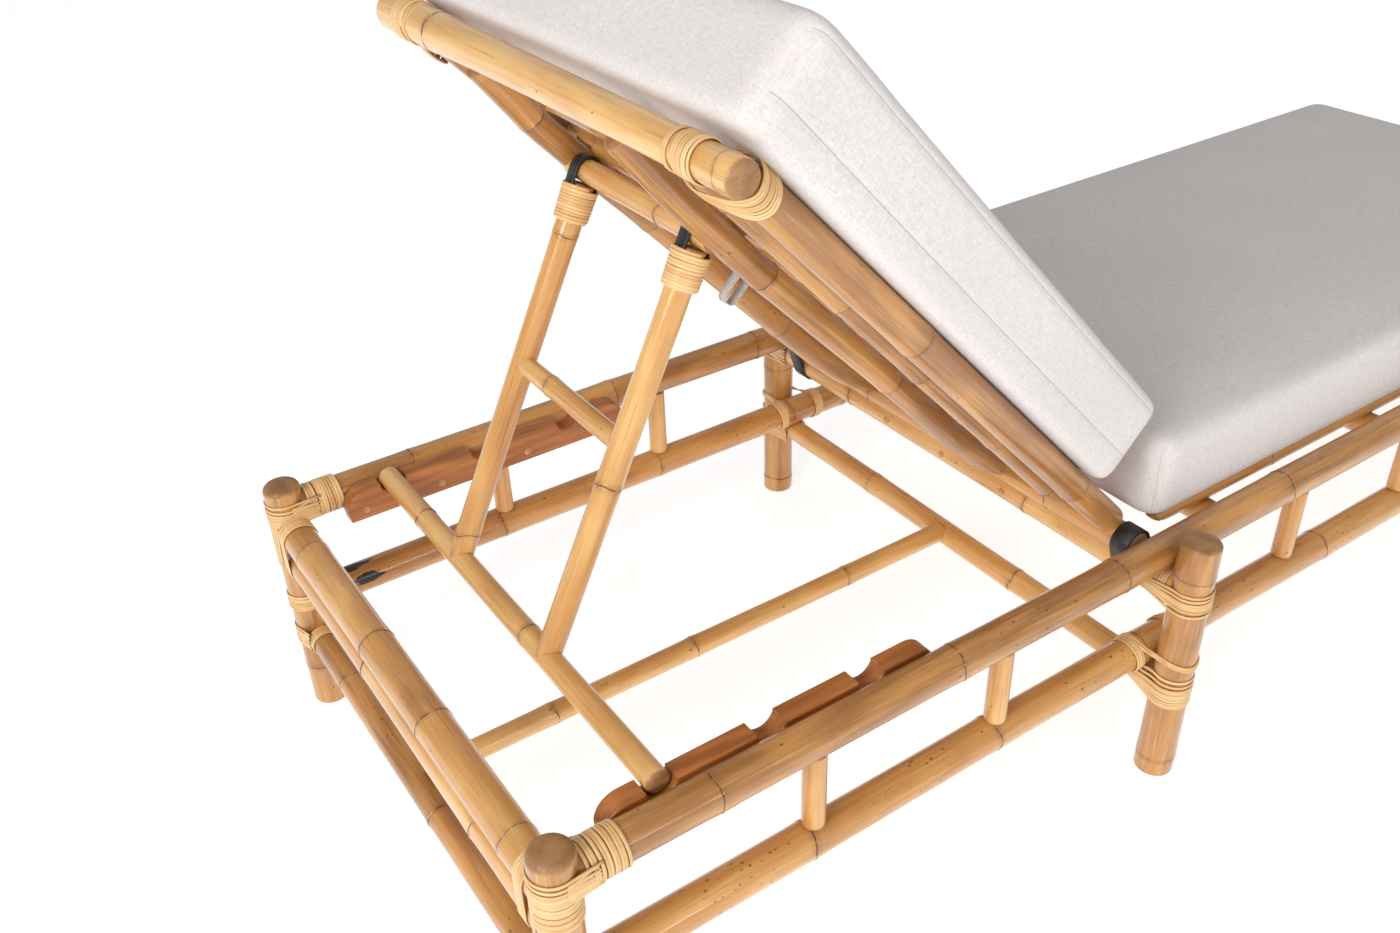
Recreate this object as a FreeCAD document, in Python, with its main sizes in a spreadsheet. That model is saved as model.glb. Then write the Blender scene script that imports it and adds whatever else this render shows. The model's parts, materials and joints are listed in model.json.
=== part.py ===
"""Rattan sun lounger with a propped backrest, as a parametric document.

Millimetres. +X runs from the head to the foot, +Y to the left of someone lying on it, +Z up.
The origin is on the floor under the middle of the frame.
"""
import FreeCAD, Part
import Sketcher
import math
import os
import re

Vector = FreeCAD.Vector

# Driving dimensions: the alias in the sheet, its value and what it measures.
SIZES = [
    ("frame_length", 1810, "head posts to foot posts, between axes"),
    ("rail_gauge", 620, "between the axes of the side rails"),
    ("post_diameter", 41, "corner posts and middle legs"),
    ("post_height", 309, "floor to the top of a post"),
    ("post_rounding", 4, "radius on the top edge of a post"),
    ("rail_diameter", 37, "side rails and end top rails"),
    ("upper_rail_height", 276, "axis of the upper side rails"),
    ("lower_rail_height", 150, "axis of the lower side rails"),
    ("end_rail_height", 254, "axis of the top rails at head and foot"),
    ("end_lower_height", 103, "axis of the lower rails at head and foot"),
    ("under_rail_diameter", 37, "pole below each end top rail"),
    ("cross_rail_diameter", 29, "lower rails across the frame"),
    ("stretcher_diameter", 24, "pole along the middle of the frame's head half"),
    ("stretcher_rise", 18, "stretcher's axis above the axis of the end lower rails"),
    ("stretcher_inset", 10, "stretcher's end short of the axis of the rail that carries it"),
    ("mid_leg_offset", 714, "head posts to middle legs, between axes"),
    ("spindle_diameter", 23, "short uprights between the side rails"),
    ("spindle_head_room", 258, "first upright to the head posts, between axes"),
    ("spindle_foot_room", 184, "last upright to the foot posts, between axes"),
    ("hinge_bar_diameter", 36, "fixed bar between the middle legs"),
    ("hinge_lean", 22, "degrees from upright, fixed bar to turning bar, towards the head"),
    ("joint_gap", 0.15, "between pieces of the same body that touch"),
    ("moving_gap", 0.35, "between pieces that move past each other"),
    ("plug_diameter", 9, "plugs over the screw heads"),
    ("plug_depth", 6, "length of a plug"),
    ("plug_spacing", 100, "between the plugs on the hinge bar"),
    ("rack_start", 57, "head post axis to the head end of a rack"),
    ("rack_length", 358, "length of a notched rack"),
    ("rack_thickness", 21, "rack across the frame"),
    ("rack_height", 38, "height of a rack"),
    ("rack_top", 290, "floor to the top of a rack"),
    ("rack_rounding", 24, "radius at the top of a rack's ends"),
    ("notch_offset", 113, "head post axis to the first notch"),
    ("notch_pitch", 112, "from one notch to the next"),
    ("notch_depth", 14, "depth of a notch"),
    ("notch_room", 3.5, "radius of a notch beyond the bar that sits in it"),
    ("seat_height", 291, "floor to the top of the seat poles"),
    ("seat_pole_diameter", 18, "poles along the seat"),
    ("seat_pole_gauge", 540, "between the outermost seat poles"),
    ("seat_pole_start", 26, "middle leg axis to the head end of the seat poles"),
    ("seat_pole_end", 8, "seat pole's end past the foot rail's axis"),
    ("bearer_diameter", 30, "bars that carry the seat poles"),
    ("bearer_start", 112, "middle leg axis to the first bearer"),
    ("bearer_end", 77, "last bearer to the foot post axis"),
    ("recline_angle", 46, "degrees between the floor and the backrest"),
    ("back_length", 714, "hinge axis to the top bar's axis"),
    ("top_bar_diameter", 34, "bar across the top of the backrest"),
    ("top_bar_length", 579, "length of the top bar"),
    ("bottom_bar_diameter", 32, "turning bar at the foot of the backrest"),
    ("bottom_bar_length", 575, "length of the turning bar"),
    ("stile_diameter", 32, "outer poles of the backrest"),
    ("stile_gauge", 494, "between the axes of the stiles"),
    ("stile_rise", 8, "stile axes in front of the hinge axis"),
    ("slat_diameter", 28, "two middle poles of the backrest"),
    ("slat_gauge", 238, "between the axes of the slats"),
    ("slat_drop", 15, "slat axes behind the hinge axis"),
    ("slat_top_room", 12, "slats' upper ends below the top bar's axis"),
    ("deck_rise", 9, "back of the thin bars in front of the hinge axis"),
    ("edge_pole_diameter", 22, "thin poles beside the stiles"),
    ("edge_pole_gauge", 410, "between the axes of the thin poles"),
    ("cross_slat_diameter", 14, "thin bars under the back cushion"),
    ("cross_slat_room", 138, "last thin bar below the top bar, between axes"),
    ("cross_slat_start", 96, "hinge axis to the first thin bar"),
    ("cross_slat_gap", 5, "end of a thin bar to the stile beside it"),
    ("pivot_room", 152, "prop's pivot bar below the top bar, along the backrest"),
    ("pivot_drop", 21, "pivot bar's axis behind the hinge axis"),
    ("pivot_bar_diameter", 23, "bar that the prop hangs from"),
    ("rung_drop", 168, "upper rung below the top bar, between axes"),
    ("rung_diameter", 22, "short bar above the pivot bar"),
    ("rung_rise", 21, "upper rung in front of the slats, between axes"),
    ("prop_leg_diameter", 25, "legs of the prop"),
    ("prop_leg_gauge", 188, "between the axes of the prop's legs"),
    ("prop_brace_diameter", 20, "bar between the prop's legs"),
    ("prop_brace_distance", 218, "crossbar axis to the brace, up the legs"),
    ("prop_bar_diameter", 24, "crossbar at the foot of the prop"),
    ("prop_bar_length", 573, "length of the crossbar"),
    ("strap_thickness", 2, "leather of the straps"),
    ("hinge_strap_width", 22, "strap round both hinge bars"),
    ("hinge_strap_gap", 2, "stile to the hinge strap beside it"),
    ("prop_strap_width", 14, "strap at the top of a prop leg"),
    ("prop_strap_tail", 46, "strap down each side of a prop leg, from the pivot's axis"),
    ("screw_diameter", 6, "screw head that holds a hinge strap"),
    ("screw_depth", 2, "height of a screw head"),
    ("strand_diameter", 3, "cane strand of the bindings"),
    ("strand_pitch", 4.4, "from one turn of cane to the next"),
    ("saddle_pitch", 5, "from one pass of cane round a post to the next"),
    ("saddle_reach", 18, "cane past the post's axis beside the rail"),
    ("collar_start", 27, "post axis to the first turn round a rail"),
    ("seat_cushion_width", 574, "seat cushion across"),
    ("seat_cushion_thickness", 92, "seat cushion at its edges"),
    ("seat_cushion_start", 3, "middle leg axis to the seat cushion"),
    ("seat_cushion_end", 9, "seat cushion to the foot post axis"),
    ("back_cushion_width", 570, "back cushion across"),
    ("back_cushion_overhang", 24, "back cushion above the top bar's axis"),
    ("back_cushion_thickness", 87, "back cushion at its edges"),
    ("back_cushion_start", 98, "hinge axis to the back cushion"),
    ("back_crown", 7, "swell of the back cushion towards the slats"),
    ("top_crown", 12, "swell of a cushion's top"),
    ("cushion_corner", 22, "radius of a cushion's edges"),
    ("cushion_draw", 5, "how far a cushion's sides pull in between its corners"),
    ("tie_width", 12, "fabric loop on the back cushion"),
    ("tie_thickness", 1.5, "fabric of the loop"),
    ("tie_drop", 68, "loop below the back cushion"),
    ("tie_offset", 14, "loop to the left of the backrest's middle"),
]
SPINDLES_TO_HEAD = 2
SPINDLES_TO_FOOT = 4
NOTCHES = 3
BEARERS = 4
SEAT_POLES = 6
CROSS_SLATS = 9
COLLAR_TURNS = 6
LOWER_COLLAR_TURNS = 5
STILE_TURNS = 5
PROP_TURNS = 9
UPPER_PASSES = 4
PASSES = 5

LEFT, RIGHT = 1, -1
SIDES = {"left": LEFT, "right": RIGHT}

doc = FreeCAD.newDocument("rattan_sun_lounger")
sheet = doc.addObject("Spreadsheet::Sheet", "sizes")
for row, (alias, number, meaning) in enumerate(SIZES, start=1):
    sheet.set(f"A{row}", meaning)
    sheet.set(f"B{row}", str(number))
    sheet.setAlias(f"B{row}", alias)
doc.recompute()

ALIASES = {alias for alias, number, meaning in SIZES}
pieces = {}


def bound(text):
    """An expression in which each size's name is led by the sheet's name."""
    return re.sub(r"[a-z_]+", lambda word: "sizes." * (word.group() in ALIASES) + word.group(), text)


def value(text):
    """The number that an expression gives."""
    return float(sheet.evalExpression(bound(text)))


def keep(label, item):
    """Names a sub-part of the lounger."""
    item.Label = label
    pieces[label] = item
    return item


# Places that several pieces share, as expressions.
HEAD_X = "(-frame_length/2)"
FOOT_X = "(frame_length/2)"
MID_X = "(-frame_length/2 + mid_leg_offset)"
RAIL_Y = "(rail_gauge/2)"
MID_LEG_Y = "(rail_gauge/2 + rail_diameter/2 + post_diameter/2 + joint_gap)"
INNER_Y = "(rail_gauge/2 - rail_diameter/2 - joint_gap)"
UNDER_Z = "(end_rail_height - rail_diameter/2 - under_rail_diameter/2 - joint_gap)"
STRETCHER_Z = "(end_lower_height + stretcher_rise)"
MID_LOWER_Z = "(lower_rail_height - rail_diameter/2 - cross_rail_diameter/2 - joint_gap)"
HINGE_BAR_Z = "(upper_rail_height - rail_diameter/2 - hinge_bar_diameter/2 - joint_gap)"
HINGE_REACH = "(hinge_bar_diameter/2 + bottom_bar_diameter/2 + moving_gap)"
HINGE_X = f"({MID_X} - {HINGE_REACH}*sin(hinge_lean))"
HINGE_Z = f"({HINGE_BAR_Z} + {HINGE_REACH}*cos(hinge_lean))"
CROSSBAR_X = f"({HEAD_X} + notch_offset)"
CROSSBAR_Z = "(rack_top - notch_depth + prop_bar_diameter/2 + moving_gap)"
CROSS_SLAT_PITCH = f"((back_length - cross_slat_start - cross_slat_room)/{CROSS_SLATS - 1})"
CROSS_SLAT_LENGTH = "(stile_gauge - stile_diameter - 2*cross_slat_gap)"
CROSS_SLAT_RISE = "(deck_rise + cross_slat_diameter/2 + joint_gap)"
BACK_FACE = f"({CROSS_SLAT_RISE} + cross_slat_diameter/2 + moving_gap)"
STRAP_Y = "(stile_gauge/2 + stile_diameter/2 + hinge_strap_gap + hinge_strap_width/2)"
SEAT_POLE_Z = "(seat_height - seat_pole_diameter/2)"
BEARER_Z = f"({SEAT_POLE_Z} - seat_pole_diameter/2 - bearer_diameter/2 - joint_gap)"


def back_place(up, across, front):
    """A point of the backrest: up it from the hinge axis, to the left and to the front."""
    return (f"{HINGE_X} - ({up})*cos(recline_angle) + ({front})*sin(recline_angle)", across,
            f"{HINGE_Z} + ({up})*sin(recline_angle) + ({front})*cos(recline_angle)")


PIVOT_X, _, PIVOT_Z = back_place("back_length - pivot_room", "0", "-pivot_drop")
PROP_LENGTH = f"(sqrt(({PIVOT_X} - {CROSSBAR_X})^2 + ({PIVOT_Z} - {CROSSBAR_Z})^2))"
PROP_ANGLE = f"(atan2({PIVOT_X} - {CROSSBAR_X}; {PIVOT_Z} - {CROSSBAR_Z}))"


def prop_place(up, across):
    """A point of the prop: up it from the crossbar's axis, and to the left."""
    return (f"{CROSSBAR_X} + ({up})*sin({PROP_ANGLE})", across, f"{CROSSBAR_Z} + ({up})*cos({PROP_ANGLE})")


DIRECTIONS = {
    "x": (Vector(0, 1, 0), "90"),
    "y": (Vector(1, 0, 0), "-90"),
    "z": (Vector(0, 0, 1), "0"),
    "back": (Vector(0, 1, 0), "recline_angle - 90"),
    "prop": (Vector(0, 1, 0), PROP_ANGLE),
}


def place(item, start, along):
    """Binds a piece's place and direction to the sheet."""
    axis, angle = DIRECTIONS[along]
    item.Placement = FreeCAD.Placement(Vector(), FreeCAD.Rotation(axis, 1))
    for letter, text in zip("xyz", start):
        item.setExpression(f"Placement.Base.{letter}", bound(text))
    item.setExpression("Placement.Rotation.Angle", bound(angle))


def pole(name, diameter, length, start, along):
    """A straight round pole from a point."""
    item = doc.addObject("Part::Cylinder", name)
    item.setExpression("Radius", bound(f"({diameter})/2"))
    item.setExpression("Height", bound(length))
    place(item, start, along)
    return item


def across_pole(name, diameter, length, x, z):
    """A pole across the frame, centred on it."""
    return pole(name, diameter, length, (x, f"-({length})/2", z), "y")


def coped(item, tools):
    """A pole cut to fit against other poles."""
    for tool in tools:
        cut = doc.addObject("Part::Cut", f"{item.Name}_coped")
        cut.Base = item
        cut.Tool = tool
        item = cut
    return item


def loose(diameter, gap="joint_gap"):
    """The diameter of a cut that clears a pole."""
    return f"{diameter} + 2*{gap}"


def group(label, items):
    """Separate solids that share one node."""
    node = doc.addObject("Part::Compound", label)
    node.Links = items
    return keep(label, node)


def solid_piece(label, shape):
    """A piece whose shape is made by the functions below."""
    node = doc.addObject("Part::Feature", label)
    node.Shape = shape
    return keep(label, node)


def post_cutter(name, x, y):
    return pole(name, loose("post_diameter"), "post_height", (x, y, "0"), "z")


def upright(label, x, y):
    """A post or leg with a rounded top, as a pad of a circle."""
    body = doc.addObject("PartDesign::Body", label)
    floor = next(plane for plane in body.Origin.OriginFeatures if plane.Role == "XY_Plane")
    sketch = body.newObject("Sketcher::SketchObject", f"{label}_section")
    sketch.AttachmentSupport = (floor, [""])
    sketch.MapMode = "FlatFace"
    sketch.addGeometry(Part.Circle(Vector(), Vector(0, 0, 1), value("post_diameter/2")))
    sketch.addConstraint(Sketcher.Constraint("Coincident", 0, 3, -1, 1))
    sketch.addConstraint(Sketcher.Constraint("Diameter", 0, value("post_diameter")))
    sketch.setExpression("Constraints[1]", bound("post_diameter"))
    pad = body.newObject("PartDesign::Pad", f"{label}_pad")
    pad.Profile = sketch
    pad.setExpression("Length", bound("post_height"))
    doc.recompute()
    top = [f"Edge{n}" for n, edge in enumerate(pad.Shape.Edges, start=1)
           if abs(edge.BoundBox.ZMin - value("post_height")) < 0.001]
    rounding = body.newObject("PartDesign::Fillet", f"{label}_rounding")
    rounding.Base = (pad, top)
    rounding.setExpression("Radius", bound("post_rounding"))
    for letter, text in zip("xy", (x, y)):
        body.setExpression(f"Placement.Base.{letter}", bound(text))
    return keep(label, body)


# Paths of the wound cane, made of lines and arcs.
def line(start, end):
    return Part.LineSegment(start, end).toShape()


def arc_from(start, tangent, end):
    """The arc that leaves a point along a tangent and reaches another point."""
    chord = end - start
    turn = 2 * tangent.getAngle(chord)
    normal = tangent.cross(chord).normalize()
    inward = normal.cross(tangent)
    radius = chord.Length / (2 * math.sin(turn / 2))
    centre = start + inward * radius
    middle = centre + (tangent * math.sin(turn / 2) - inward * math.cos(turn / 2)) * radius
    return Part.Arc(start, middle, end).toShape()


def biarc(start, start_tangent, end, end_tangent):
    """Two arcs that join two points and keep the tangent at both."""
    span = end - start
    both = start_tangent + end_tangent
    spread = 2 * (1 - start_tangent.dot(end_tangent))
    slope = span.dot(both)
    reach = (math.sqrt(slope * slope + spread * span.dot(span)) - slope) / spread
    joint = (start + end + (start_tangent - end_tangent) * reach) * 0.5
    first = arc_from(start, start_tangent, joint)
    second = arc_from(end, end_tangent * -1, joint)
    return [first, second.reversed()]


def collar_path(core_radius, turns):
    """A helix round a pole that lies along Z, with straight ends."""
    strand = value("strand_diameter")
    rise = value("strand_pitch") / (2 * math.pi)
    radius = core_radius + value("joint_gap") + strand / 2
    quarter = math.pi / 2
    places = []
    for step in range(4 * turns + 1):
        turn = step * quarter
        point = Vector(radius * math.cos(turn), radius * math.sin(turn), rise * turn)
        tangent = Vector(-radius * math.sin(turn), radius * math.cos(turn), rise).normalize()
        places.append((point, tangent))
    edges = [line(places[0][0] - places[0][1] * strand, places[0][0])]
    for (start, start_tangent), (end, end_tangent) in zip(places, places[1:]):
        edges += biarc(start, start_tangent, end, end_tangent)
    edges.append(line(places[-1][0], places[-1][0] + places[-1][1] * strand))
    return edges


def saddle_path(post_radius, passes):
    """Passes of cane to and fro round a post that stands on Z, open towards +X."""
    radius = post_radius + value("joint_gap") + value("strand_diameter") / 2
    pitch = value("saddle_pitch")
    reach = value("saddle_reach")
    edges = []
    side = 1
    for number in range(passes):
        z = number * pitch
        near, far = side * radius, -side * radius
        edges.append(line(Vector(reach, near, z), Vector(0, near, z)))
        edges.append(arc_from(Vector(0, near, z), Vector(-1, 0, 0), Vector(-radius, 0, z)))
        edges.append(arc_from(Vector(-radius, 0, z), Vector(0, -side, 0), Vector(0, far, z)))
        edges.append(line(Vector(0, far, z), Vector(reach, far, z)))
        if number < passes - 1:
            turn = Vector(reach + pitch / 2, far, z + pitch / 2)
            edges.append(arc_from(Vector(reach, far, z), Vector(1, 0, 0), turn))
            edges.append(arc_from(turn, Vector(0, 0, 1), Vector(reach, far, z + pitch)))
        side = -side
    return edges


def least_gap(edges, diameter):
    """The least free space between a tube's turns, measured on points along its path."""
    step = diameter
    points = []
    travelled = 0
    for edge in edges:
        count = max(2, int(edge.Length / step) + 1)
        samples = edge.discretize(Number=count)
        if edge.Orientation == "Reversed":
            samples = samples[::-1]
        points += [(travelled + edge.Length * n / (count - 1), p) for n, p in enumerate(samples)]
        travelled += edge.Length
    apart = 2.3 * diameter
    nearest = min((p - q).Length for s, p in points for t, q in points if t - s > apart)
    return nearest - diameter


def tube(name, edges):
    """One unbroken strand of cane along a path."""
    diameter = value("strand_diameter")
    path = Part.Wire(edges)
    start = edges[0].Vertexes[0].Point
    heading = edges[0].Vertexes[-1].Point - start
    section = Part.Wire([Part.Circle(start, heading, diameter / 2).toShape()])
    shape = path.makePipeShell([section], True, False)
    share = shape.Volume / (math.pi * diameter ** 2 / 4 * path.Length)
    print(f"{name}: length {path.Length:.0f}, volume share {share:.4f}, "
          f"least gap {least_gap(edges, diameter):.2f}")
    return shape


def turned(shape, matrix_steps):
    """A copy of a shape, turned and moved by placements in order."""
    copy = shape.copy()
    for step in matrix_steps:
        copy.Placement = step.multiply(copy.Placement)
    return copy


def about(axis, degrees):
    return FreeCAD.Placement(Vector(), FreeCAD.Rotation(axis, degrees))


def at(x, y, z):
    return FreeCAD.Placement(Vector(value(x), value(y), value(z)), FreeCAD.Rotation())


X_AXIS, Y_AXIS, Z_AXIS = Vector(1, 0, 0), Vector(0, 1, 0), Vector(0, 0, 1)


def make_posts():
    ends = {"head": HEAD_X, "foot": FOOT_X}
    for end, x in ends.items():
        for side, sign in SIDES.items():
            upright(f"{end}_post_{side}", x, f"{sign}*{RAIL_Y}")
    for side, sign in SIDES.items():
        upright(f"mid_leg_{side}", MID_X, f"{sign}*{MID_LEG_Y}")


def make_side_rails():
    heights = {"upper": "upper_rail_height", "lower": "lower_rail_height"}
    for level, z in heights.items():
        for side, sign in SIDES.items():
            name = f"{level}_side_rail_{side}"
            y = f"{sign}*{RAIL_Y}"
            rail = pole(f"{name}_pole", "rail_diameter", "frame_length", (HEAD_X, y, z), "x")
            posts = [post_cutter(f"{name}_{end}_cut", x, y) for end, x in (("head", HEAD_X), ("foot", FOOT_X))]
            keep(name, coped(rail, posts))


def make_end_rails():
    levels = {
        "top_rail": ("rail_diameter", "end_rail_height"),
        "under_rail": ("under_rail_diameter", UNDER_Z),
        "lower_rail": ("cross_rail_diameter", "end_lower_height"),
    }
    for end, x in (("head", HEAD_X), ("foot", FOOT_X)):
        for level, (diameter, z) in levels.items():
            name = f"{end}_{level}"
            rail = across_pole(f"{name}_pole", diameter, "rail_gauge", x, z)
            cutters = []
            for side, sign in SIDES.items():
                y = f"{sign}*{RAIL_Y}"
                cutters.append(post_cutter(f"{name}_{side}_post_cut", x, y))
                for rail_level in ("upper_rail_height", "lower_rail_height"):
                    cutters.append(pole(f"{name}_{side}_{rail_level}_cut", loose("rail_diameter"),
                                        "frame_length", (HEAD_X, y, rail_level), "x"))
            keep(name, coped(rail, cutters))


def make_mid_bars():
    bars = {
        "hinge_bar": ("hinge_bar_diameter", HINGE_BAR_Z),
        "mid_lower_stretcher": ("cross_rail_diameter", MID_LOWER_Z),
    }
    for name, (diameter, z) in bars.items():
        bar = across_pole(f"{name}_pole", diameter, f"2*{MID_LEG_Y}", MID_X, z)
        legs = [post_cutter(f"{name}_{side}_cut", MID_X, f"{sign}*{MID_LEG_Y}") for side, sign in SIDES.items()]
        if name == "hinge_bar":
            legs += [plug(f"hinge_bar_hole_{n}", *place_of, gap="joint_gap")
                     for n, place_of in enumerate(hinge_plug_places())]
        keep(name, coped(bar, legs))


def make_stretcher():
    name = "centre_stretcher"
    start = f"({HEAD_X} + stretcher_inset)"
    length = f"{MID_X} - {start}"
    run = pole(f"{name}_pole", "stretcher_diameter", length, (start, "0", STRETCHER_Z), "x")
    cutter = across_pole(f"{name}_cut", loose("cross_rail_diameter"), f"2*{MID_LEG_Y}", MID_X, MID_LOWER_Z)
    carrier = across_pole(f"{name}_end_cut", loose("cross_rail_diameter"), "rail_gauge",
                          HEAD_X, "end_lower_height")
    inside = pole(f"{name}_keep", "4*stretcher_diameter", f"{length} - cross_rail_diameter/4",
                  (start, "0", STRETCHER_Z), "x")
    trimmed = doc.addObject("Part::Common", f"{name}_trimmed")
    trimmed.Base = coped(run, [cutter, carrier])
    trimmed.Tool = inside
    keep(name, trimmed)


def make_spindles():
    steps = [n for n in range(-SPINDLES_TO_HEAD, SPINDLES_TO_FOOT + 1) if n]
    head_step = f"(mid_leg_offset - spindle_head_room)/{SPINDLES_TO_HEAD}"
    foot_step = f"(frame_length - mid_leg_offset - spindle_foot_room)/{SPINDLES_TO_FOOT}"
    spindles = []
    for side, sign in SIDES.items():
        y = f"{sign}*{RAIL_Y}"
        for step in steps:
            name = f"spindle_{side}_{step + SPINDLES_TO_HEAD}"
            x = f"{MID_X} + {step}*({head_step if step < 0 else foot_step})"
            spindle = pole(name, "spindle_diameter", "upper_rail_height - lower_rail_height",
                           (x, y, "lower_rail_height"), "z")
            cutters = [pole(f"{name}_{level}_cut", loose("rail_diameter"), "4*spindle_diameter",
                            (f"{x} - 2*spindle_diameter", y, level), "x")
                       for level in ("lower_rail_height", "upper_rail_height")]
            spindles.append(coped(spindle, cutters))
    group("side_spindles", spindles)


def plug(name, start, along, gap="0"):
    """A round plug, or the hole that it sits in."""
    return pole(name, f"plug_diameter + 2*{gap}", f"plug_depth + {gap}", start, along)


def hinge_plug_places():
    """Plugs in the hinge bar's side that faces the head: the inner end of each, and its direction."""
    x = f"{MID_X} - hinge_bar_diameter/2"
    return [((x, f"{n}*plug_spacing", HINGE_BAR_Z), "x") for n in (-1, 0, 1)]


def rack_plug_places(sign):
    """Plugs in a rack's inner face, between its notches: start and direction."""
    inner = f"{INNER_Y} - rack_thickness"
    y = inner if sign == LEFT else f"-({inner}) - plug_depth"
    z = "rack_top - (notch_depth + rack_height)/2"
    tooth = f"{HEAD_X} + (rack_start + notch_offset - prop_bar_diameter/2 - notch_room)/2"
    places = [((tooth, y, z), "y")]
    for n in range(1, NOTCHES):
        places.append(((f"{HEAD_X} + notch_offset + ({n} - 0.5)*notch_pitch", y, z), "y"))
    return places


def make_racks():
    for side, sign in SIDES.items():
        name = f"rack_{side}"
        box = doc.addObject("Part::Box", f"{name}_bar")
        box.setExpression("Length", bound("rack_length"))
        box.setExpression("Width", bound("rack_thickness"))
        box.setExpression("Height", bound("rack_height"))
        y = f"{INNER_Y} - rack_thickness" if sign == LEFT else f"-{INNER_Y}"
        place(box, (f"{HEAD_X} + rack_start", y, "rack_top - rack_height"), "z")
        doc.recompute()
        ends = [n for n, edge in enumerate(box.Shape.Edges, start=1)
                if edge.BoundBox.YLength > value("rack_thickness") / 2
                and edge.BoundBox.ZMin > value("rack_top - rack_height/2")]
        rounded = doc.addObject("Part::Fillet", f"{name}_rounded")
        rounded.Base = box
        rounded.Edges = [(n, value("rack_rounding"), value("rack_rounding")) for n in ends]
        radius = "(prop_bar_diameter/2 + notch_room)"
        notches = [across_pole(f"{name}_notch_{n}", f"2*{radius}", "rail_gauge",
                               f"{HEAD_X} + notch_offset + {n}*notch_pitch",
                               f"rack_top - notch_depth + {radius}") for n in range(NOTCHES)]
        holes = [plug(f"{name}_hole_{n}", start, along, gap="joint_gap")
                 for n, (start, along) in enumerate(rack_plug_places(sign))]
        keep(name, coped(rounded, notches + holes))


def make_plugs():
    places = hinge_plug_places()
    for sign in SIDES.values():
        places += rack_plug_places(sign)
    plugs = [plug(f"plug_{n}", start, along) for n, (start, along) in enumerate(places)]
    group("screw_plugs", plugs)


def make_seat():
    first = f"({MID_X} + bearer_start)"
    last = f"({FOOT_X} - bearer_end)"
    bearers = []
    for n in range(BEARERS):
        name = f"bearer_{n}"
        x = f"{first} + {n}*({last} - {first})/{BEARERS - 1}"
        bearer = across_pole(name, "bearer_diameter", "rail_gauge", x, BEARER_Z)
        rails = [pole(f"{name}_{side}_cut", loose("rail_diameter"), "frame_length",
                      (HEAD_X, f"{sign}*{RAIL_Y}", "upper_rail_height"), "x") for side, sign in SIDES.items()]
        inside = doc.addObject("Part::Box", f"{name}_span")
        inside.setExpression("Length", bound("2*bearer_diameter"))
        inside.setExpression("Width", bound("rail_gauge - spindle_diameter - 2*moving_gap"))
        inside.setExpression("Height", bound("2*bearer_diameter"))
        place(inside, (f"{x} - bearer_diameter", "-(rail_gauge - spindle_diameter)/2 + moving_gap",
                       f"{BEARER_Z} - bearer_diameter"), "z")
        trimmed = doc.addObject("Part::Common", f"{name}_trimmed")
        trimmed.Base = coped(bearer, rails)
        trimmed.Tool = inside
        bearers.append(trimmed)
    group("seat_bearers", bearers)
    length = f"{FOOT_X} + seat_pole_end - {MID_X} - seat_pole_start"
    inner = []
    for n in range(SEAT_POLES):
        y = f"(seat_pole_gauge/2 - {n}*seat_pole_gauge/{SEAT_POLES - 1})"
        start = (f"{MID_X} + seat_pole_start", y, SEAT_POLE_Z)
        seat_pole = pole(f"seat_pole_{n}", "seat_pole_diameter", length, start, "x")
        if n == 0:
            keep("seat_edge_pole_left", seat_pole)
        elif n == SEAT_POLES - 1:
            keep("seat_edge_pole_right", seat_pole)
        else:
            inner.append(seat_pole)
    group("seat_poles", inner)


def make_back_frame():
    top_x, _, top_z = back_place("back_length", "0", "0")
    keep("back_top_bar", across_pole("back_top_bar", "top_bar_diameter", "top_bar_length", top_x, top_z))
    keep("back_bottom_bar",
         across_pole("back_bottom_bar", "bottom_bar_diameter", "bottom_bar_length", HINGE_X, HINGE_Z))
    lengthwise = {
        "back_stile": ("stile_diameter", "stile_gauge", "stile_rise"),
        "back_slat": ("slat_diameter", "slat_gauge", "-slat_drop"),
        "back_edge_pole": ("edge_pole_diameter", "edge_pole_gauge", "(deck_rise - edge_pole_diameter/2)"),
    }
    for kind, (diameter, gauge, front) in lengthwise.items():
        for side, sign in SIDES.items():
            name = f"{kind}_{side}"
            length = "back_length" if kind != "back_slat" else "back_length - slat_top_room"
            run = pole(f"{name}_pole", diameter, length,
                       back_place("0", f"{sign}*{gauge}/2", front), "back")
            clear = "joint_gap" if kind != "back_edge_pole" else "(strand_diameter + moving_gap)"
            ends = [across_pole(f"{name}_top_cut", loose("top_bar_diameter", clear), "top_bar_length",
                                top_x, top_z),
                    across_pole(f"{name}_foot_cut", loose("bottom_bar_diameter"), "bottom_bar_length",
                                HINGE_X, HINGE_Z)]
            if kind == "back_stile":
                over_x, _, over_z = back_place("back_length", "0", "top_bar_diameter")
                ends.append(across_pole(f"{name}_scoop", "2*top_bar_diameter", "top_bar_length", over_x, over_z))
            keep(name, coped(run, ends))


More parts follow.
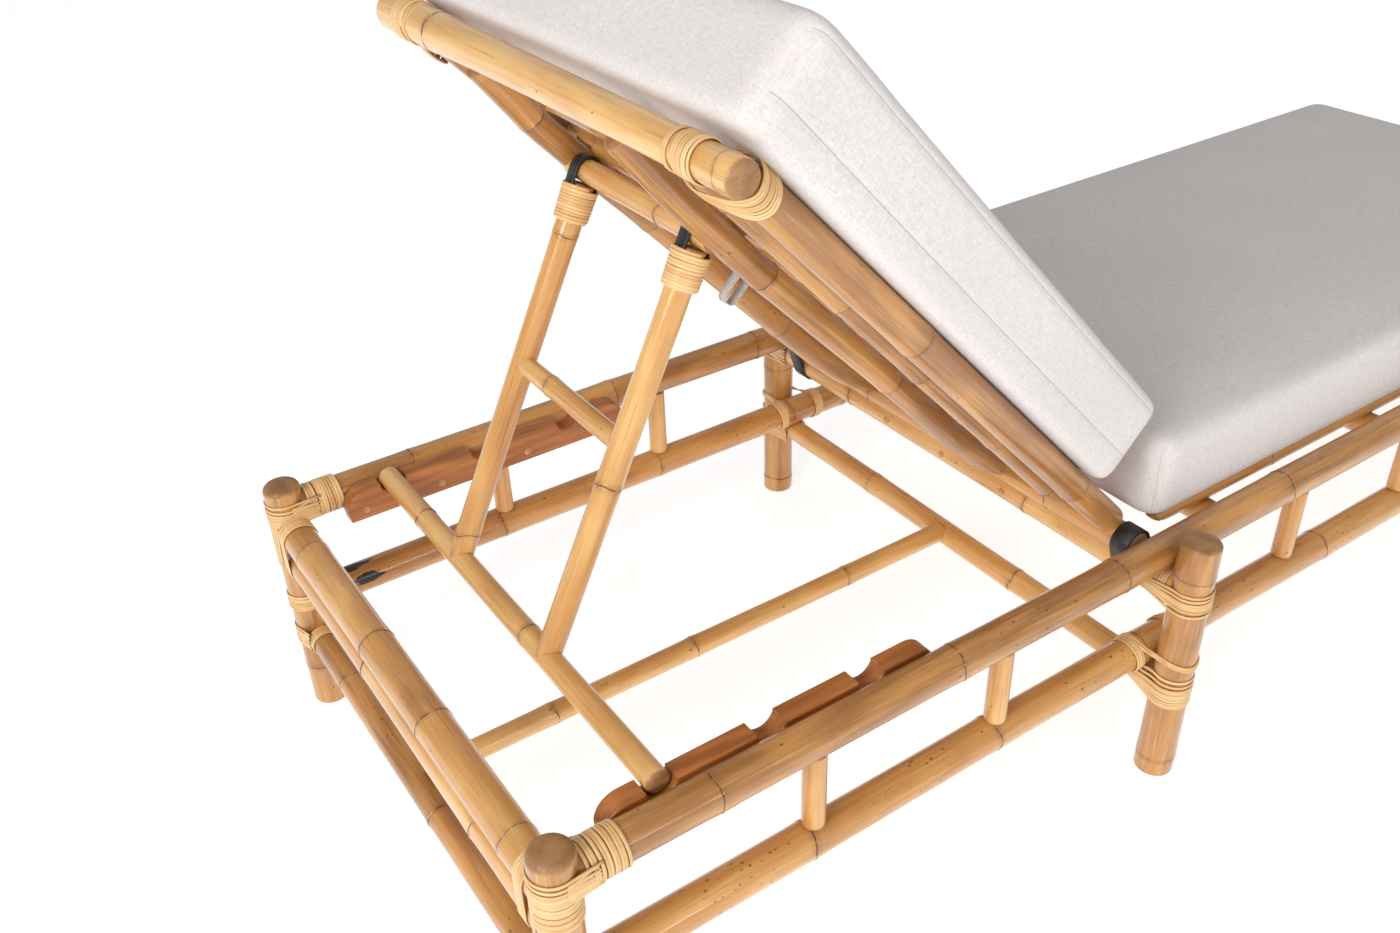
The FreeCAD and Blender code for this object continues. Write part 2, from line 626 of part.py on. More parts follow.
def make_back_bars():
    short = {
        "prop_pivot_bar": ("pivot_bar_diameter", "back_length - pivot_room", "-pivot_drop"),
        "back_rung": ("rung_diameter", "back_length - rung_drop", "rung_rise - slat_drop"),
    }
    for name, (diameter, up, front) in short.items():
        x, _, z = back_place(up, "0", front)
        bar = across_pole(f"{name}_pole", diameter, "slat_gauge", x, z)
        slats = [pole(f"{name}_{side}_cut", loose("slat_diameter"), "back_length",
                      back_place("0", f"{sign}*slat_gauge/2", "-slat_drop"), "back")
                 for side, sign in SIDES.items()]
        keep(name, coped(bar, slats))
    thin = []
    for n in range(CROSS_SLATS):
        x, _, z = back_place(f"cross_slat_start + {n}*{CROSS_SLAT_PITCH}", "0", CROSS_SLAT_RISE)
        thin.append(across_pole(f"cross_slat_{n}", "cross_slat_diameter", CROSS_SLAT_LENGTH, x, z))
    group("back_cross_slats", thin)


def make_prop():
    keep("prop_crossbar",
         across_pole("prop_crossbar", "prop_bar_diameter", "prop_bar_length", CROSSBAR_X, CROSSBAR_Z))
    top = f"{PROP_LENGTH} - pivot_bar_diameter/2 - 4*moving_gap"
    for side, sign in SIDES.items():
        name = f"prop_leg_{side}"
        y = f"{sign}*prop_leg_gauge/2"
        leg = pole(f"{name}_pole", "prop_leg_diameter", top, prop_place("0", y), "prop")
        cutter = across_pole(f"{name}_cut", loose("prop_bar_diameter"), "prop_bar_length",
                             CROSSBAR_X, CROSSBAR_Z)
        keep(name, coped(leg, [cutter]))
    x, _, z = prop_place("prop_brace_distance", "0")
    brace = across_pole("prop_brace_pole", "prop_brace_diameter", "prop_leg_gauge", x, z)
    legs = [pole(f"prop_brace_{side}_cut", loose("prop_leg_diameter"), top,
                 prop_place("0", f"{sign}*prop_leg_gauge/2"), "prop") for side, sign in SIDES.items()]
    keep("prop_brace", coped(brace, legs))


def belt(first, first_radius, second, second_radius, thickness, width):
    """A strap round two bars along Y: its loop, centred on Y = 0."""
    span = second - first
    along = Vector(span).normalize()
    aside = Vector(-along.z, 0, along.x)
    lean = math.asin((first_radius - second_radius) / span.Length)

    def loop(extra):
        near, far = first_radius + extra, second_radius + extra
        up = along * math.sin(lean) + aside * math.cos(lean)
        down = along * math.sin(lean) - aside * math.cos(lean)
        edges = [Part.Arc(first + up * near, first - along * near, first + down * near).toShape(),
                 line(first + down * near, second + down * far),
                 Part.Arc(second + down * far, second + along * far, second + up * far).toShape(),
                 line(second + up * far, first + up * near)]
        return Part.Wire(edges)

    whole, hollow = [Part.Face(loop(extra)).extrude(Vector(0, width, 0)) for extra in (thickness, 0)]
    shape = whole.cut(hollow).Solids[0]
    shape.translate(Vector(0, -width / 2, 0))
    return shape


def bent_strip(inner, outer, tail, width):
    """A strip bent half round a bar along Y, with two straight tails that reach to Z = tail."""
    crest = -1 if tail > 0 else 1
    bends = [Part.Arc(Vector(-r, 0, 0), Vector(0, 0, crest * r), Vector(r, 0, 0)).toShape()
             for r in (inner, outer)]
    sides = []
    for sign in (LEFT, RIGHT):
        corners = [Vector(sign * x, 0, z) for x, z in ((inner, 0), (inner, tail), (outer, tail), (outer, 0))]
        sides += [line(start, end) for start, end in zip(corners, corners[1:])]
    strip = Part.Face(Part.Wire(Part.__sortEdges__(bends + sides))).extrude(Vector(0, width, 0))
    strip.translate(Vector(0, -width / 2, 0))
    return strip


def make_hinge_straps():
    fixed = Vector(value(MID_X), 0, value(HINGE_BAR_Z))
    turning = Vector(value(HINGE_X), 0, value(HINGE_Z))
    thickness = value("strap_thickness")
    gap = value("moving_gap")
    strap = belt(turning, value("bottom_bar_diameter/2") + gap, fixed, value("hinge_bar_diameter/2") + gap,
                 thickness, value("hinge_strap_width"))
    screws = []
    head = value("hinge_bar_diameter/2") + gap + thickness + value("joint_gap")
    outward = Vector(-value("cos(hinge_lean)"), 0, -value("sin(hinge_lean)"))
    for side, sign in SIDES.items():
        y = sign * value(STRAP_Y)
        copy = strap.copy()
        copy.translate(Vector(0, y, 0))
        solid_piece(f"hinge_strap_{side}", copy)
        screws.append(Part.makeCylinder(value("screw_diameter/2"), value("screw_depth"),
                                        fixed + outward * head + Vector(0, y, 0), outward))
    solid_piece("strap_screws", Part.makeCompound(screws))


def make_prop_straps():
    """A strap over the pivot bar at each leg's top, with a tail down two sides of the leg."""
    leg_radius = value("prop_leg_diameter/2")
    inner = max(leg_radius + value("joint_gap"), value("pivot_bar_diameter/2 + moving_gap"))
    outer = inner + value("strap_thickness")
    tail = value("prop_strap_tail")
    width = value("prop_strap_width")
    strap = bent_strip(inner, outer, -tail, width)
    lean = about(Y_AXIS, value(PROP_ANGLE))
    straps = [turned(strap, [lean, at(PIVOT_X, f"{sign}*prop_leg_gauge/2", PIVOT_Z)])
              for sign in SIDES.values()]
    solid_piece("prop_straps", Part.makeCompound(straps))
    return math.hypot(outer, width / 2)


def make_prop_bindings(strap_corner):
    length = value("strand_pitch") * PROP_TURNS
    winding = tube("prop binding", collar_path(strap_corner, PROP_TURNS))
    drop = at("0", "0", f"-(pivot_bar_diameter/2 + 4*moving_gap + 1.5*strand_diameter + {length})")
    lean = about(Y_AXIS, value(PROP_ANGLE))
    copies = [turned(winding, [drop, lean, at(PIVOT_X, f"{sign}*prop_leg_gauge/2", PIVOT_Z)])
              for sign in SIDES.values()]
    solid_piece("prop_bindings", Part.makeCompound(copies))


def make_frame_bindings():
    """Cane round the ends of the rails and round the posts that they meet."""
    rail_collar = tube("rail collar", collar_path(value("rail_diameter/2"), COLLAR_TURNS))
    lower_collar = tube("lower rail collar", collar_path(value("rail_diameter/2"), LOWER_COLLAR_TURNS))
    cross_collar = tube("cross rail collar", collar_path(value("cross_rail_diameter/2"), LOWER_COLLAR_TURNS))
    upper_saddle = tube("upper saddle", saddle_path(value("post_diameter/2"), UPPER_PASSES))
    saddle = tube("saddle", saddle_path(value("post_diameter/2"), PASSES))
    clear = "(strand_diameter/2 + moving_gap)"
    saddle_height = f"{PASSES - 1}*saddle_pitch"
    side_saddle_z = f"end_rail_height + rail_diameter/2 + {clear}"
    end_saddle_z = f"upper_rail_height - rail_diameter/2 - {clear} - {saddle_height}"
    along_x = about(Y_AXIS, 90)
    along_y = about(X_AXIS, -90)
    start_x = at("collar_start", "0", "0")
    start_y = at("0", "collar_start", "0")
    for end, x, heading in (("head", HEAD_X, 0), ("foot", FOOT_X, 180)):
        for side, sign in SIDES.items():
            y = f"{sign}*{RAIL_Y}"
            run_x = about(Z_AXIS, heading)
            inward = about(Z_AXIS, -90 * sign)
            run_y = about(Z_AXIS, 180 if sign == LEFT else 0)
            windings = [
                turned(rail_collar, [along_x, start_x, run_x, at(x, y, "upper_rail_height")]),
                turned(lower_collar, [along_x, start_x, run_x, at(x, y, "lower_rail_height")]),
                turned(cross_collar, [along_y, start_y, run_y, at(x, y, "end_lower_height")]),
                turned(upper_saddle, [run_x, at(x, y, side_saddle_z)]),
                turned(saddle, [run_x, at(x, y, f"lower_rail_height - {saddle_height}/2")]),
                turned(saddle, [inward, at(x, y, end_saddle_z)]),
                turned(saddle, [inward, at(x, y, f"end_lower_height - {saddle_height}/2")]),
            ]
            solid_piece(f"{end}_bindings_{side}", Part.makeCompound(windings))
    for side, sign in SIDES.items():
        inward = about(Z_AXIS, -90 * sign)
        y = f"{sign}*{MID_LEG_Y}"
        under_upper = f"upper_rail_height - rail_diameter/2 - {clear} - {saddle_height}"
        under_lower = f"lower_rail_height - rail_diameter/2 - {clear} - {saddle_height}"
        windings = [turned(saddle, [inward, at(MID_X, y, z)]) for z in (under_upper, under_lower)]
        solid_piece(f"mid_bindings_{side}", Part.makeCompound(windings))


def make_back_bindings():
    bar_collar = tube("top bar collar", collar_path(value("top_bar_diameter/2"), COLLAR_TURNS))
    stile_collar = tube("stile collar", collar_path(value("stile_diameter/2"), STILE_TURNS))
    bar_run = value("strand_pitch") * COLLAR_TURNS
    stile_run = value("strand_pitch") * STILE_TURNS
    top = back_place("back_length", "0", "0")
    below = back_place(f"back_length - top_bar_diameter/2 - 2*strand_diameter - {stile_run}", "0", "stile_rise")
    inner = f"stile_gauge/2 - stile_diameter/2 - 2*strand_diameter - {bar_run}"
    windings = []
    for sign in SIDES.values():
        facing = about(Z_AXIS, 0 if sign == LEFT else 180)
        windings.append(turned(bar_collar, [about(X_AXIS, -90), at("0", inner, "0"), facing,
                                            at(top[0], "0", top[2])]))
        windings.append(turned(stile_collar, [about(Y_AXIS, value("recline_angle - 90")),
                                              at(below[0], f"{sign}*stile_gauge/2", below[2])]))
    solid_piece("back_bindings", Part.makeCompound(windings))


def cushion(length, width, thickness, top_crown, back_crown):
    """A boxed cushion along X on Z = 0: crowned, drawn in along its sides, round at its edges."""
    corner = value("cushion_corner")
    draw = value("cushion_draw")
    stations = [0, 0.12 * corner, 0.45 * corner, corner, length / 4, length / 2]
    stations += [length - s for s in reversed(stations[:-1])]
    sections = []
    for x in stations:
        end = min(x, length - x, corner)
        inset = corner - math.sqrt(corner ** 2 - (corner - end) ** 2)
        middle = 1 - (2 * x / length - 1) ** 2
        half = width / 2 - inset - draw * middle
        low, high = 0.6 * inset, thickness - 0.6 * inset
        edge = corner * 0.55
        bottom = Vector(x, 0, low - back_crown * middle)
        crown = Vector(x, 0, high + top_crown * middle)
        slant = edge * (1 - math.sqrt(0.5))
        right_low, right_side = Vector(x, half - edge, low), Vector(x, half, low + edge)
        right_high, right_top = Vector(x, half, high - edge), Vector(x, half - edge, high)
        left_low, left_side = Vector(x, edge - half, low), Vector(x, -half, low + edge)
        left_high, left_top = Vector(x, -half, high - edge), Vector(x, edge - half, high)
        bulge = 0.01
        edges = [
            Part.Arc(left_low, bottom - Vector(0, 0, bulge), right_low).toShape(),
            Part.Arc(right_low, Vector(x, half - slant, low + slant), right_side).toShape(),
            line(right_side, right_high),
            Part.Arc(right_high, Vector(x, half - slant, high - slant), right_top).toShape(),
            Part.Arc(right_top, crown + Vector(0, 0, bulge), left_top).toShape(),
            Part.Arc(left_top, Vector(x, slant - half, high - slant), left_high).toShape(),
            line(left_high, left_side),
            Part.Arc(left_side, Vector(x, slant - half, low + slant), left_low).toShape(),
        ]
        sections.append(Part.Wire(edges))
    return Part.makeLoft(sections, True, True)


def make_cushions():
    seat_length = value(f"{FOOT_X} - seat_cushion_end - {MID_X} - seat_cushion_start")
    seat = cushion(seat_length, value("seat_cushion_width"), value("seat_cushion_thickness"),
                   value("top_crown"), 0)
    seat = turned(seat, [at(f"{MID_X} + seat_cushion_start", "0", "seat_height + moving_gap")])
    solid_piece("seat_cushion", seat)
    length = value("back_length + back_cushion_overhang - back_cushion_start")
    back = cushion(length, value("back_cushion_width"), value("back_cushion_thickness"),
                   value("top_crown"), value("back_crown"))
    facing = about(Z_AXIS, 180)
    lean = about(Y_AXIS, value("recline_angle"))
    foot = back_place("back_cushion_start", "0", f"{BACK_FACE} + back_crown")
    solid_piece("back_cushion", turned(back, [facing, lean, at(*foot)]))


def make_tie():
    """A fabric loop sewn to the back cushion, hanging round a thin bar of the backrest."""
    inner = value("cross_slat_diameter/2 + moving_gap")
    outer = inner + value("tie_thickness")
    drop = value("tie_drop") - outer
    width = value("tie_width")
    loop = bent_strip(inner, outer, drop, width)
    loop.translate(Vector(0, 0, -drop))
    lean = about(Y_AXIS, value("recline_angle"))
    bar = f"cross_slat_start + {CROSS_SLATS - 4}*{CROSS_SLAT_PITCH}"
    x, y, z = back_place(bar, "tie_offset", f"{BACK_FACE} - 2*moving_gap")
    solid_piece("cushion_tie", turned(loop, [lean, at(x, y, z)]))


def main():
    make_posts()
    make_side_rails()
    make_end_rails()
    make_mid_bars()
    make_stretcher()
    make_spindles()
    make_racks()
    make_plugs()
    make_seat()
    make_back_frame()
    make_back_bars()
    make_prop()
    make_hinge_straps()
    make_prop_bindings(make_prop_straps())
    make_frame_bindings()
    make_back_bindings()
    make_cushions()
    make_tie()
    doc.recompute()

    failed = [item.Label for item in doc.Objects if {"Invalid", "Error"} & set(item.State)]
    failed += [label for label, item in pieces.items() if item.Shape.isNull() or not item.Shape.isValid()]
    if failed:
        raise RuntimeError(f"failed pieces: {failed}")
    print(f"hinge axis {value(HINGE_X):.3f} {value(HINGE_Z):.3f}")
    print(f"pivot axis {value(PIVOT_X):.3f} {value(PIVOT_Z):.3f}")
    print(f"crossbar axis {value(CROSSBAR_X):.3f} {value(CROSSBAR_Z):.3f}")
    os.makedirs("parts", exist_ok=True)
    for label, item in pieces.items():
        item.Shape.exportStep(os.path.join("parts", f"{label}.step"))


main()
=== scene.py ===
"""Dresses the rattan sun lounger: poles with rings, wound cane, straps, racks and stuffed cushions.

Shapes are worked out in millimetres in the model's own frame and turned into metres as meshes are made.
"""
import json
import math

import bpy
import numpy as np
from mathutils import Matrix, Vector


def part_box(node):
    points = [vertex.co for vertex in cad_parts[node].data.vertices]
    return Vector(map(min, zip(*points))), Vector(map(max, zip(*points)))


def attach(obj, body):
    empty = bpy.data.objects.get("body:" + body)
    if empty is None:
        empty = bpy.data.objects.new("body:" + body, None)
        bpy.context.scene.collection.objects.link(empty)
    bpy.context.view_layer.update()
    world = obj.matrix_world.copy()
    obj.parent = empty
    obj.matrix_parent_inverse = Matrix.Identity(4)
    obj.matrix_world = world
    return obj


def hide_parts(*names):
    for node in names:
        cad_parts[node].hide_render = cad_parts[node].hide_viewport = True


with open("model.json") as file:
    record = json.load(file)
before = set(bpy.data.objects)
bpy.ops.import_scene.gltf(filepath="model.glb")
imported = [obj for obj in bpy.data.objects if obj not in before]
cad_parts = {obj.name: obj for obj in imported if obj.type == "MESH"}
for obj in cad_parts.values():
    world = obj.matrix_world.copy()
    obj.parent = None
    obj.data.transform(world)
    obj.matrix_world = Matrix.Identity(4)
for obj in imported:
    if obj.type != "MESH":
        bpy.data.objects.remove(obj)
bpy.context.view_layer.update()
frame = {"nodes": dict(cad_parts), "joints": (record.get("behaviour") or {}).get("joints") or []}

MM = 0.001
X, Y, Z = 0, 1, 2
LEFT, RIGHT = 1, -1
SIDES = {"left": LEFT, "right": RIGHT}
ROUND = 2 * math.pi

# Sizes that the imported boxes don't give directly.
RECLINE = math.radians(46)
BACK_LENGTH = 714
STILE_Y, STILE_FRONT, STILE_D = 247, 8, 32
SLAT_Y, SLAT_FRONT, SLAT_D = 119, -15, 28
EDGE_POLE_Y, EDGE_POLE_FRONT, EDGE_POLE_D = 205, -2, 22
CROSS_SLAT_FRONT, CROSS_SLAT_D = 16.15, 14
CROSS_SLATS, CROSS_SLAT_START, CROSS_SLAT_PITCH, CROSS_SLAT_HALF = 9, 96, 60, 226
SPINDLE_STEPS, SPINDLE_PITCH, SPINDLE_D, SPINDLE_SUNK = (-2, -1, 1, 2, 3, 4), 228, 23, 3
DECK_POLES = 4
PROP_LEG_Y, PROP_LEG_D = 94, 25
PROP_BRACE_UP, PROP_BRACE_D = 218, 20
CANE_WIDTH, CANE_THICKNESS = 3.5, 1.3


def unit(v):
    v = np.asarray(v, float)
    return v / np.linalg.norm(v)


def unit_rows(vectors):
    return vectors / np.linalg.norm(vectors, axis=1)[:, None]


def millimetres(node):
    """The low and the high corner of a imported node's box."""
    low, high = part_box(node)
    return np.array(low) / MM, np.array(high) / MM


def middle_of(node):
    low, high = millimetres(node)
    return (low + high) / 2


def half_height(node):
    low, high = millimetres(node)
    return (high - low)[Z] / 2


def place_object(name, data):
    """Links a new object for a mesh, a light or a camera."""
    item = bpy.data.objects.new(name, data)
    bpy.context.scene.collection.objects.link(item)
    return item


joint_place = {j["name"]: np.array(j["pos_m"]) / MM for j in frame["joints"]}
HINGE = joint_place["backrest_hinge"]
PIVOT = joint_place["prop_swing"]
UP_BACK = np.array([-math.cos(RECLINE), 0, math.sin(RECLINE)])
OFF_BACK = np.array([math.sin(RECLINE), 0, math.cos(RECLINE)])
ACROSS = np.array([0.0, 1.0, 0.0])
CROSSBAR = middle_of("prop_crossbar")
UP_PROP = unit(PIVOT - CROSSBAR)
PROP_LENGTH = float(np.linalg.norm(PIVOT - CROSSBAR))


def on_back(up, across, front):
    """A point of the backrest: up it from the hinge axis, to the left, and to its front."""
    return HINGE + UP_BACK * up + ACROSS * across + OFF_BACK * front


def on_prop(up, across):
    """A point of the prop: up it from the crossbar's axis, and to the left."""
    return CROSSBAR + UP_PROP * up + ACROSS * across


# Shader node groups and materials.
class Nodes:
    """A short way to place and wire shader nodes in one tree."""

    def __init__(self, tree):
        self.tree = tree

    def add(self, kind, inputs=None, **settings):
        node = self.tree.nodes.new(kind)
        for key, setting in settings.items():
            setattr(node, key, setting)
        for key, source in (inputs or {}).items():
            self.feed(node.inputs[key], source)
        return node

    def feed(self, socket, source):
        if isinstance(source, bpy.types.NodeSocket):
            self.tree.links.new(source, socket)
        else:
            socket.default_value = source

    def math(self, operation, first, second=0.0, third=0.0, clamp=False):
        node = self.add("ShaderNodeMath", {0: first, 1: second, 2: third},
                        operation=operation, use_clamp=clamp)
        return node.outputs[0]

    def times(self, first, second):
        return self.math("MULTIPLY", first, second)

    def scaled(self, source, factor, offset):
        return self.math("MULTIPLY_ADD", source, factor, offset)

    def vector(self, x, y, z):
        return self.add("ShaderNodeCombineXYZ", {0: x, 1: y, 2: z}).outputs[0]

    def mix(self, share, first, second):
        """Blends two colours."""
        node = self.add("ShaderNodeMix", {0: share, 6: first, 7: second}, data_type="RGBA")
        return node.outputs[2]

    def band(self, source, low, high, start=0.0, end=1.0):
        """Maps a range of values smoothly to another."""
        node = self.add("ShaderNodeMapRange", {0: source, 1: low, 2: high, 3: start, 4: end},
                        interpolation_type="SMOOTHSTEP")
        return node.outputs[0]

    def stretch(self, vector, scale):
        node = self.add("ShaderNodeVectorMath", {0: vector, 1: scale}, operation="MULTIPLY")
        return node.outputs[0]

    def noise(self, vector, scale=1.0, detail=2.0, roughness=0.5):
        node = self.add("ShaderNodeTexNoise",
                        {"Vector": vector, "Scale": scale, "Detail": detail, "Roughness": roughness})
        return node.outputs[0]

    def attribute(self, name, output):
        return self.add("ShaderNodeAttribute", attribute_name=name).outputs[output]

    def group(self, tree, inputs):
        return self.add("ShaderNodeGroup", inputs, node_tree=tree).outputs


SOCKETS = {"vector": "NodeSocketVector", "value": "NodeSocketFloat"}


def shader_group(name, inputs, outputs):
    """An empty node group with named sockets; returns its nodes, its input sockets and its output node."""
    tree = bpy.data.node_groups.new(name, "ShaderNodeTree")
    for key, kind in inputs.items():
        tree.interface.new_socket(name=key, in_out="INPUT", socket_type=SOCKETS[kind])
    for key, kind in outputs.items():
        tree.interface.new_socket(name=key, in_out="OUTPUT", socket_type=SOCKETS[kind])
    nodes = Nodes(tree)
    entry = nodes.add("NodeGroupInput")
    result = nodes.add("NodeGroupOutput")
    return tree, nodes, entry.outputs, result.inputs


def make_fibre_group():
    """Streaks that run along a grown piece: fine fibres and broad bands of tone."""
    tree, n, given, result = shader_group(
        "fibre_streaks", {"Place": "vector", "Fine": "value", "Broad": "value"},
        {"Fibres": "value", "Bands": "value"})
    fine = n.vector(given["Fine"], given["Fine"], n.times(given["Fine"], 0.02))
    broad = n.vector(given["Broad"], given["Broad"], n.times(given["Broad"], 0.11))
    n.feed(result["Fibres"], n.noise(n.stretch(given["Place"], fine), 1.0, 3.0, 0.6))
    n.feed(result["Bands"], n.noise(n.stretch(given["Place"], broad), 1.0, 2.0, 0.5))
    return tree


def make_fleck_group():
    """Small dark flecks and stains, scattered unevenly."""
    tree, n, given, result = shader_group(
        "flecks", {"Place": "vector", "Across": "value", "Along": "value", "Amount": "value"},
        {"Mask": "value"})
    place = n.stretch(given["Place"], n.vector(given["Across"], given["Across"], given["Along"]))
    cells = n.add("ShaderNodeTexVoronoi", {"Vector": place, "Scale": 1.0, "Randomness": 1.0})
    chosen = n.add("ShaderNodeSeparateColor", {0: cells.outputs["Color"]})
    patches = n.band(n.noise(given["Place"], 9.0, 2.0), 0.42, 0.62)
    limit = n.times(n.times(given["Amount"], patches), 0.55)
    picked = n.math("LESS_THAN", chosen.outputs[0], limit)
    size = n.scaled(chosen.outputs[1], 0.28, 0.09)
    spot = n.math("SUBTRACT", 1.0, n.math("DIVIDE", cells.outputs["Distance"], size), clamp=True)
    n.feed(result["Mask"], n.times(picked, n.band(spot, 0.0, 0.6)))
    return tree


def make_pore_group():
    """Cut pores of an end, as small dark dots."""
    tree, n, given, result = shader_group(
        "cut_pores", {"Place": "vector", "Scale": "value"}, {"Mask": "value"})
    cells = n.add("ShaderNodeTexVoronoi", {"Vector": given["Place"], "Scale": given["Scale"]})
    n.feed(result["Mask"], n.band(cells.outputs["Distance"], 0.34, 0.12))
    return tree


def make_weave_group():
    """Slubbed threads of a plain weave in both directions."""
    tree, n, given, result = shader_group(
        "plain_weave", {"Place": "vector", "Threads": "value"}, {"Heather": "value", "Height": "value"})
    slow = n.times(given["Threads"], 0.2)
    warp = n.vector(given["Threads"], slow, 0.0)
    weft = n.vector(slow, given["Threads"], 0.0)
    lengthwise = n.noise(n.stretch(given["Place"], warp), 1.0, 2.0, 0.6)
    crosswise = n.noise(n.stretch(given["Place"], weft), 1.0, 2.0, 0.6)
    both = n.times(n.math("ADD", lengthwise, crosswise), 0.5)
    n.feed(result["Heather"], both)
    n.feed(result["Height"], n.math("MAXIMUM", lengthwise, crosswise))
    return tree


FIBRES = make_fibre_group()
FLECKS = make_fleck_group()
PORES = make_pore_group()
WEAVE = make_weave_group()


def new_material(name, roughness, coat=0.0, coat_roughness=0.1, specular=0.5, sheen=0.0):
    """A material with its shader; returns it, its nodes and the shader's inputs."""
    material = bpy.data.materials.new(name)
    material.use_nodes = True
    nodes = Nodes(material.node_tree)
    shader = next(s for s in material.node_tree.nodes if s.type == "BSDF_PRINCIPLED").inputs
    shader["Roughness"].default_value = roughness
    shader["Coat Weight"].default_value = coat
    shader["Coat Roughness"].default_value = coat_roughness
    shader["Specular IOR Level"].default_value = specular
    shader["Sheen Weight"].default_value = sheen
    return material, nodes, shader


def add_bump(nodes, shader, height, distance, strength=1.0):
    bump = nodes.add("ShaderNodeBump", {"Height": height, "Distance": distance, "Strength": strength})
    nodes.feed(shader["Normal"], bump.outputs[0])


def colour(red, green, blue):
    """A colour from its everyday 0 to 255 values, as the shader wants it."""
    channels = [c / 255 for c in (red, green, blue)]
    return tuple(c / 12.92 if c <= 0.04045 else ((c + 0.055) / 1.055) ** 2.4 for c in channels) + (1.0,)


def make_rattan():
    material, n, shader = new_material("varnished_rattan", 0.32, coat=0.55, coat_roughness=0.13)
    place = n.attribute("pole_place", "Vector")
    ring = n.attribute("ring_distance", "Fac")
    tone = n.attribute("pole_tone", "Fac")
    streaks = n.group(FIBRES, {"Place": place, "Fine": 620.0, "Broad": 70.0})
    fibres, bands = streaks["Fibres"], streaks["Bands"]
    clouds = n.noise(place, 14.0, 3.0)
    mellow = n.math("ADD", tone, n.scaled(bands, 1.1, -0.55))
    mellow = n.math("ADD", mellow, n.scaled(clouds, 0.5, -0.25), clamp=True)
    skin = n.mix(n.band(mellow, 0.0, 0.5), colour(230, 183, 113), colour(206, 148, 79))
    skin = n.mix(n.band(mellow, 0.45, 1.0), skin, colour(157, 105, 52))
    skin = n.mix(n.band(fibres, 0.52, 0.78, 0.0, 0.5), skin, colour(140, 84, 36))
    skin = n.mix(n.band(fibres, 0.46, 0.25, 0.0, 0.35), skin, colour(240, 204, 146))
    flecks = n.group(FLECKS, {"Place": place, "Across": 210.0, "Along": 130.0,
                              "Amount": n.attribute("freckle", "Fac")})["Mask"]
    skin = n.mix(n.times(flecks, 0.75), skin, colour(84, 44, 18))
    wobble = n.scaled(n.noise(place, 420.0, 2.0), 0.0016, -0.0008)
    away = n.math("ABSOLUTE", n.math("ADD", ring, wobble))
    line = n.band(away, 0.0011, 0.0002)
    broken = n.band(n.noise(place, 160.0, 1.0), 0.36, 0.5)
    line = n.times(line, n.scaled(broken, 0.75, 0.25))
    halo = n.times(n.band(away, 0.009, 0.0), n.band(bands, 0.35, 0.6))
    skin = n.mix(n.times(halo, 0.45), skin, colour(146, 86, 36))
    skin = n.mix(n.times(line, 0.9), skin, colour(66, 33, 16))
    scorch = n.math("ADD", n.attribute("scorch", "Fac"),
                    n.scaled(n.noise(n.stretch(place, (260.0, 260.0, 60.0)), 1.0, 3.0), 0.7, -0.35))
    burnt = n.band(scorch, 0.5, 0.58)
    skin = n.mix(burnt, skin, colour(40, 25, 18))
    cut = n.attribute("cut_end", "Fac")
    pores = n.group(PORES, {"Place": place, "Scale": 620.0})["Mask"]
    sawn = n.mix(n.band(n.noise(place, 55.0, 3.0), 0.3, 0.7), colour(172, 126, 78), colour(140, 98, 56))
    sawn = n.mix(n.times(pores, 0.55), sawn, colour(104, 66, 34))
    n.feed(shader["Base Color"], n.mix(cut, skin, sawn))
    n.feed(shader["Roughness"], n.math("ADD", n.scaled(fibres, 0.2, 0.2), n.times(cut, 0.2)))
    dull = n.math("MAXIMUM", cut, burnt)
    n.feed(shader["Coat Weight"], n.scaled(dull, -0.45, 0.6))
    height = n.scaled(line, -0.7, n.times(fibres, 0.22))
    height = n.math("SUBTRACT", height, n.times(n.times(pores, cut), 0.2))
    add_bump(n, shader, height, 0.0009, 0.8)
    return material


def make_cane():
    material, n, shader = new_material("peeled_cane", 0.36, coat=0.35, coat_roughness=0.16)
    place = n.attribute("strand_place", "Vector")
    edge = n.attribute("strand_edge", "Fac")
    streaks = n.group(FIBRES, {"Place": place, "Fine": 1700.0, "Broad": 60.0})
    skin = n.mix(n.band(streaks["Bands"], 0.32, 0.68), colour(236, 198, 140), colour(218, 170, 108))
    skin = n.mix(n.band(streaks["Fibres"], 0.55, 0.8, 0.0, 0.45), skin, colour(176, 126, 68))
    stains = n.group(FLECKS, {"Place": place, "Across": 160.0, "Along": 40.0, "Amount": 0.35})["Mask"]
    skin = n.mix(n.times(stains, 0.4), skin, colour(140, 92, 46))
    n.feed(shader["Base Color"], n.mix(n.band(edge, 0.78, 1.0, 0.0, 0.4), skin, colour(150, 102, 56)))
    n.feed(shader["Roughness"], n.scaled(streaks["Fibres"], 0.22, 0.25))
    add_bump(n, shader, streaks["Fibres"], 0.0004, 0.6)
    return material


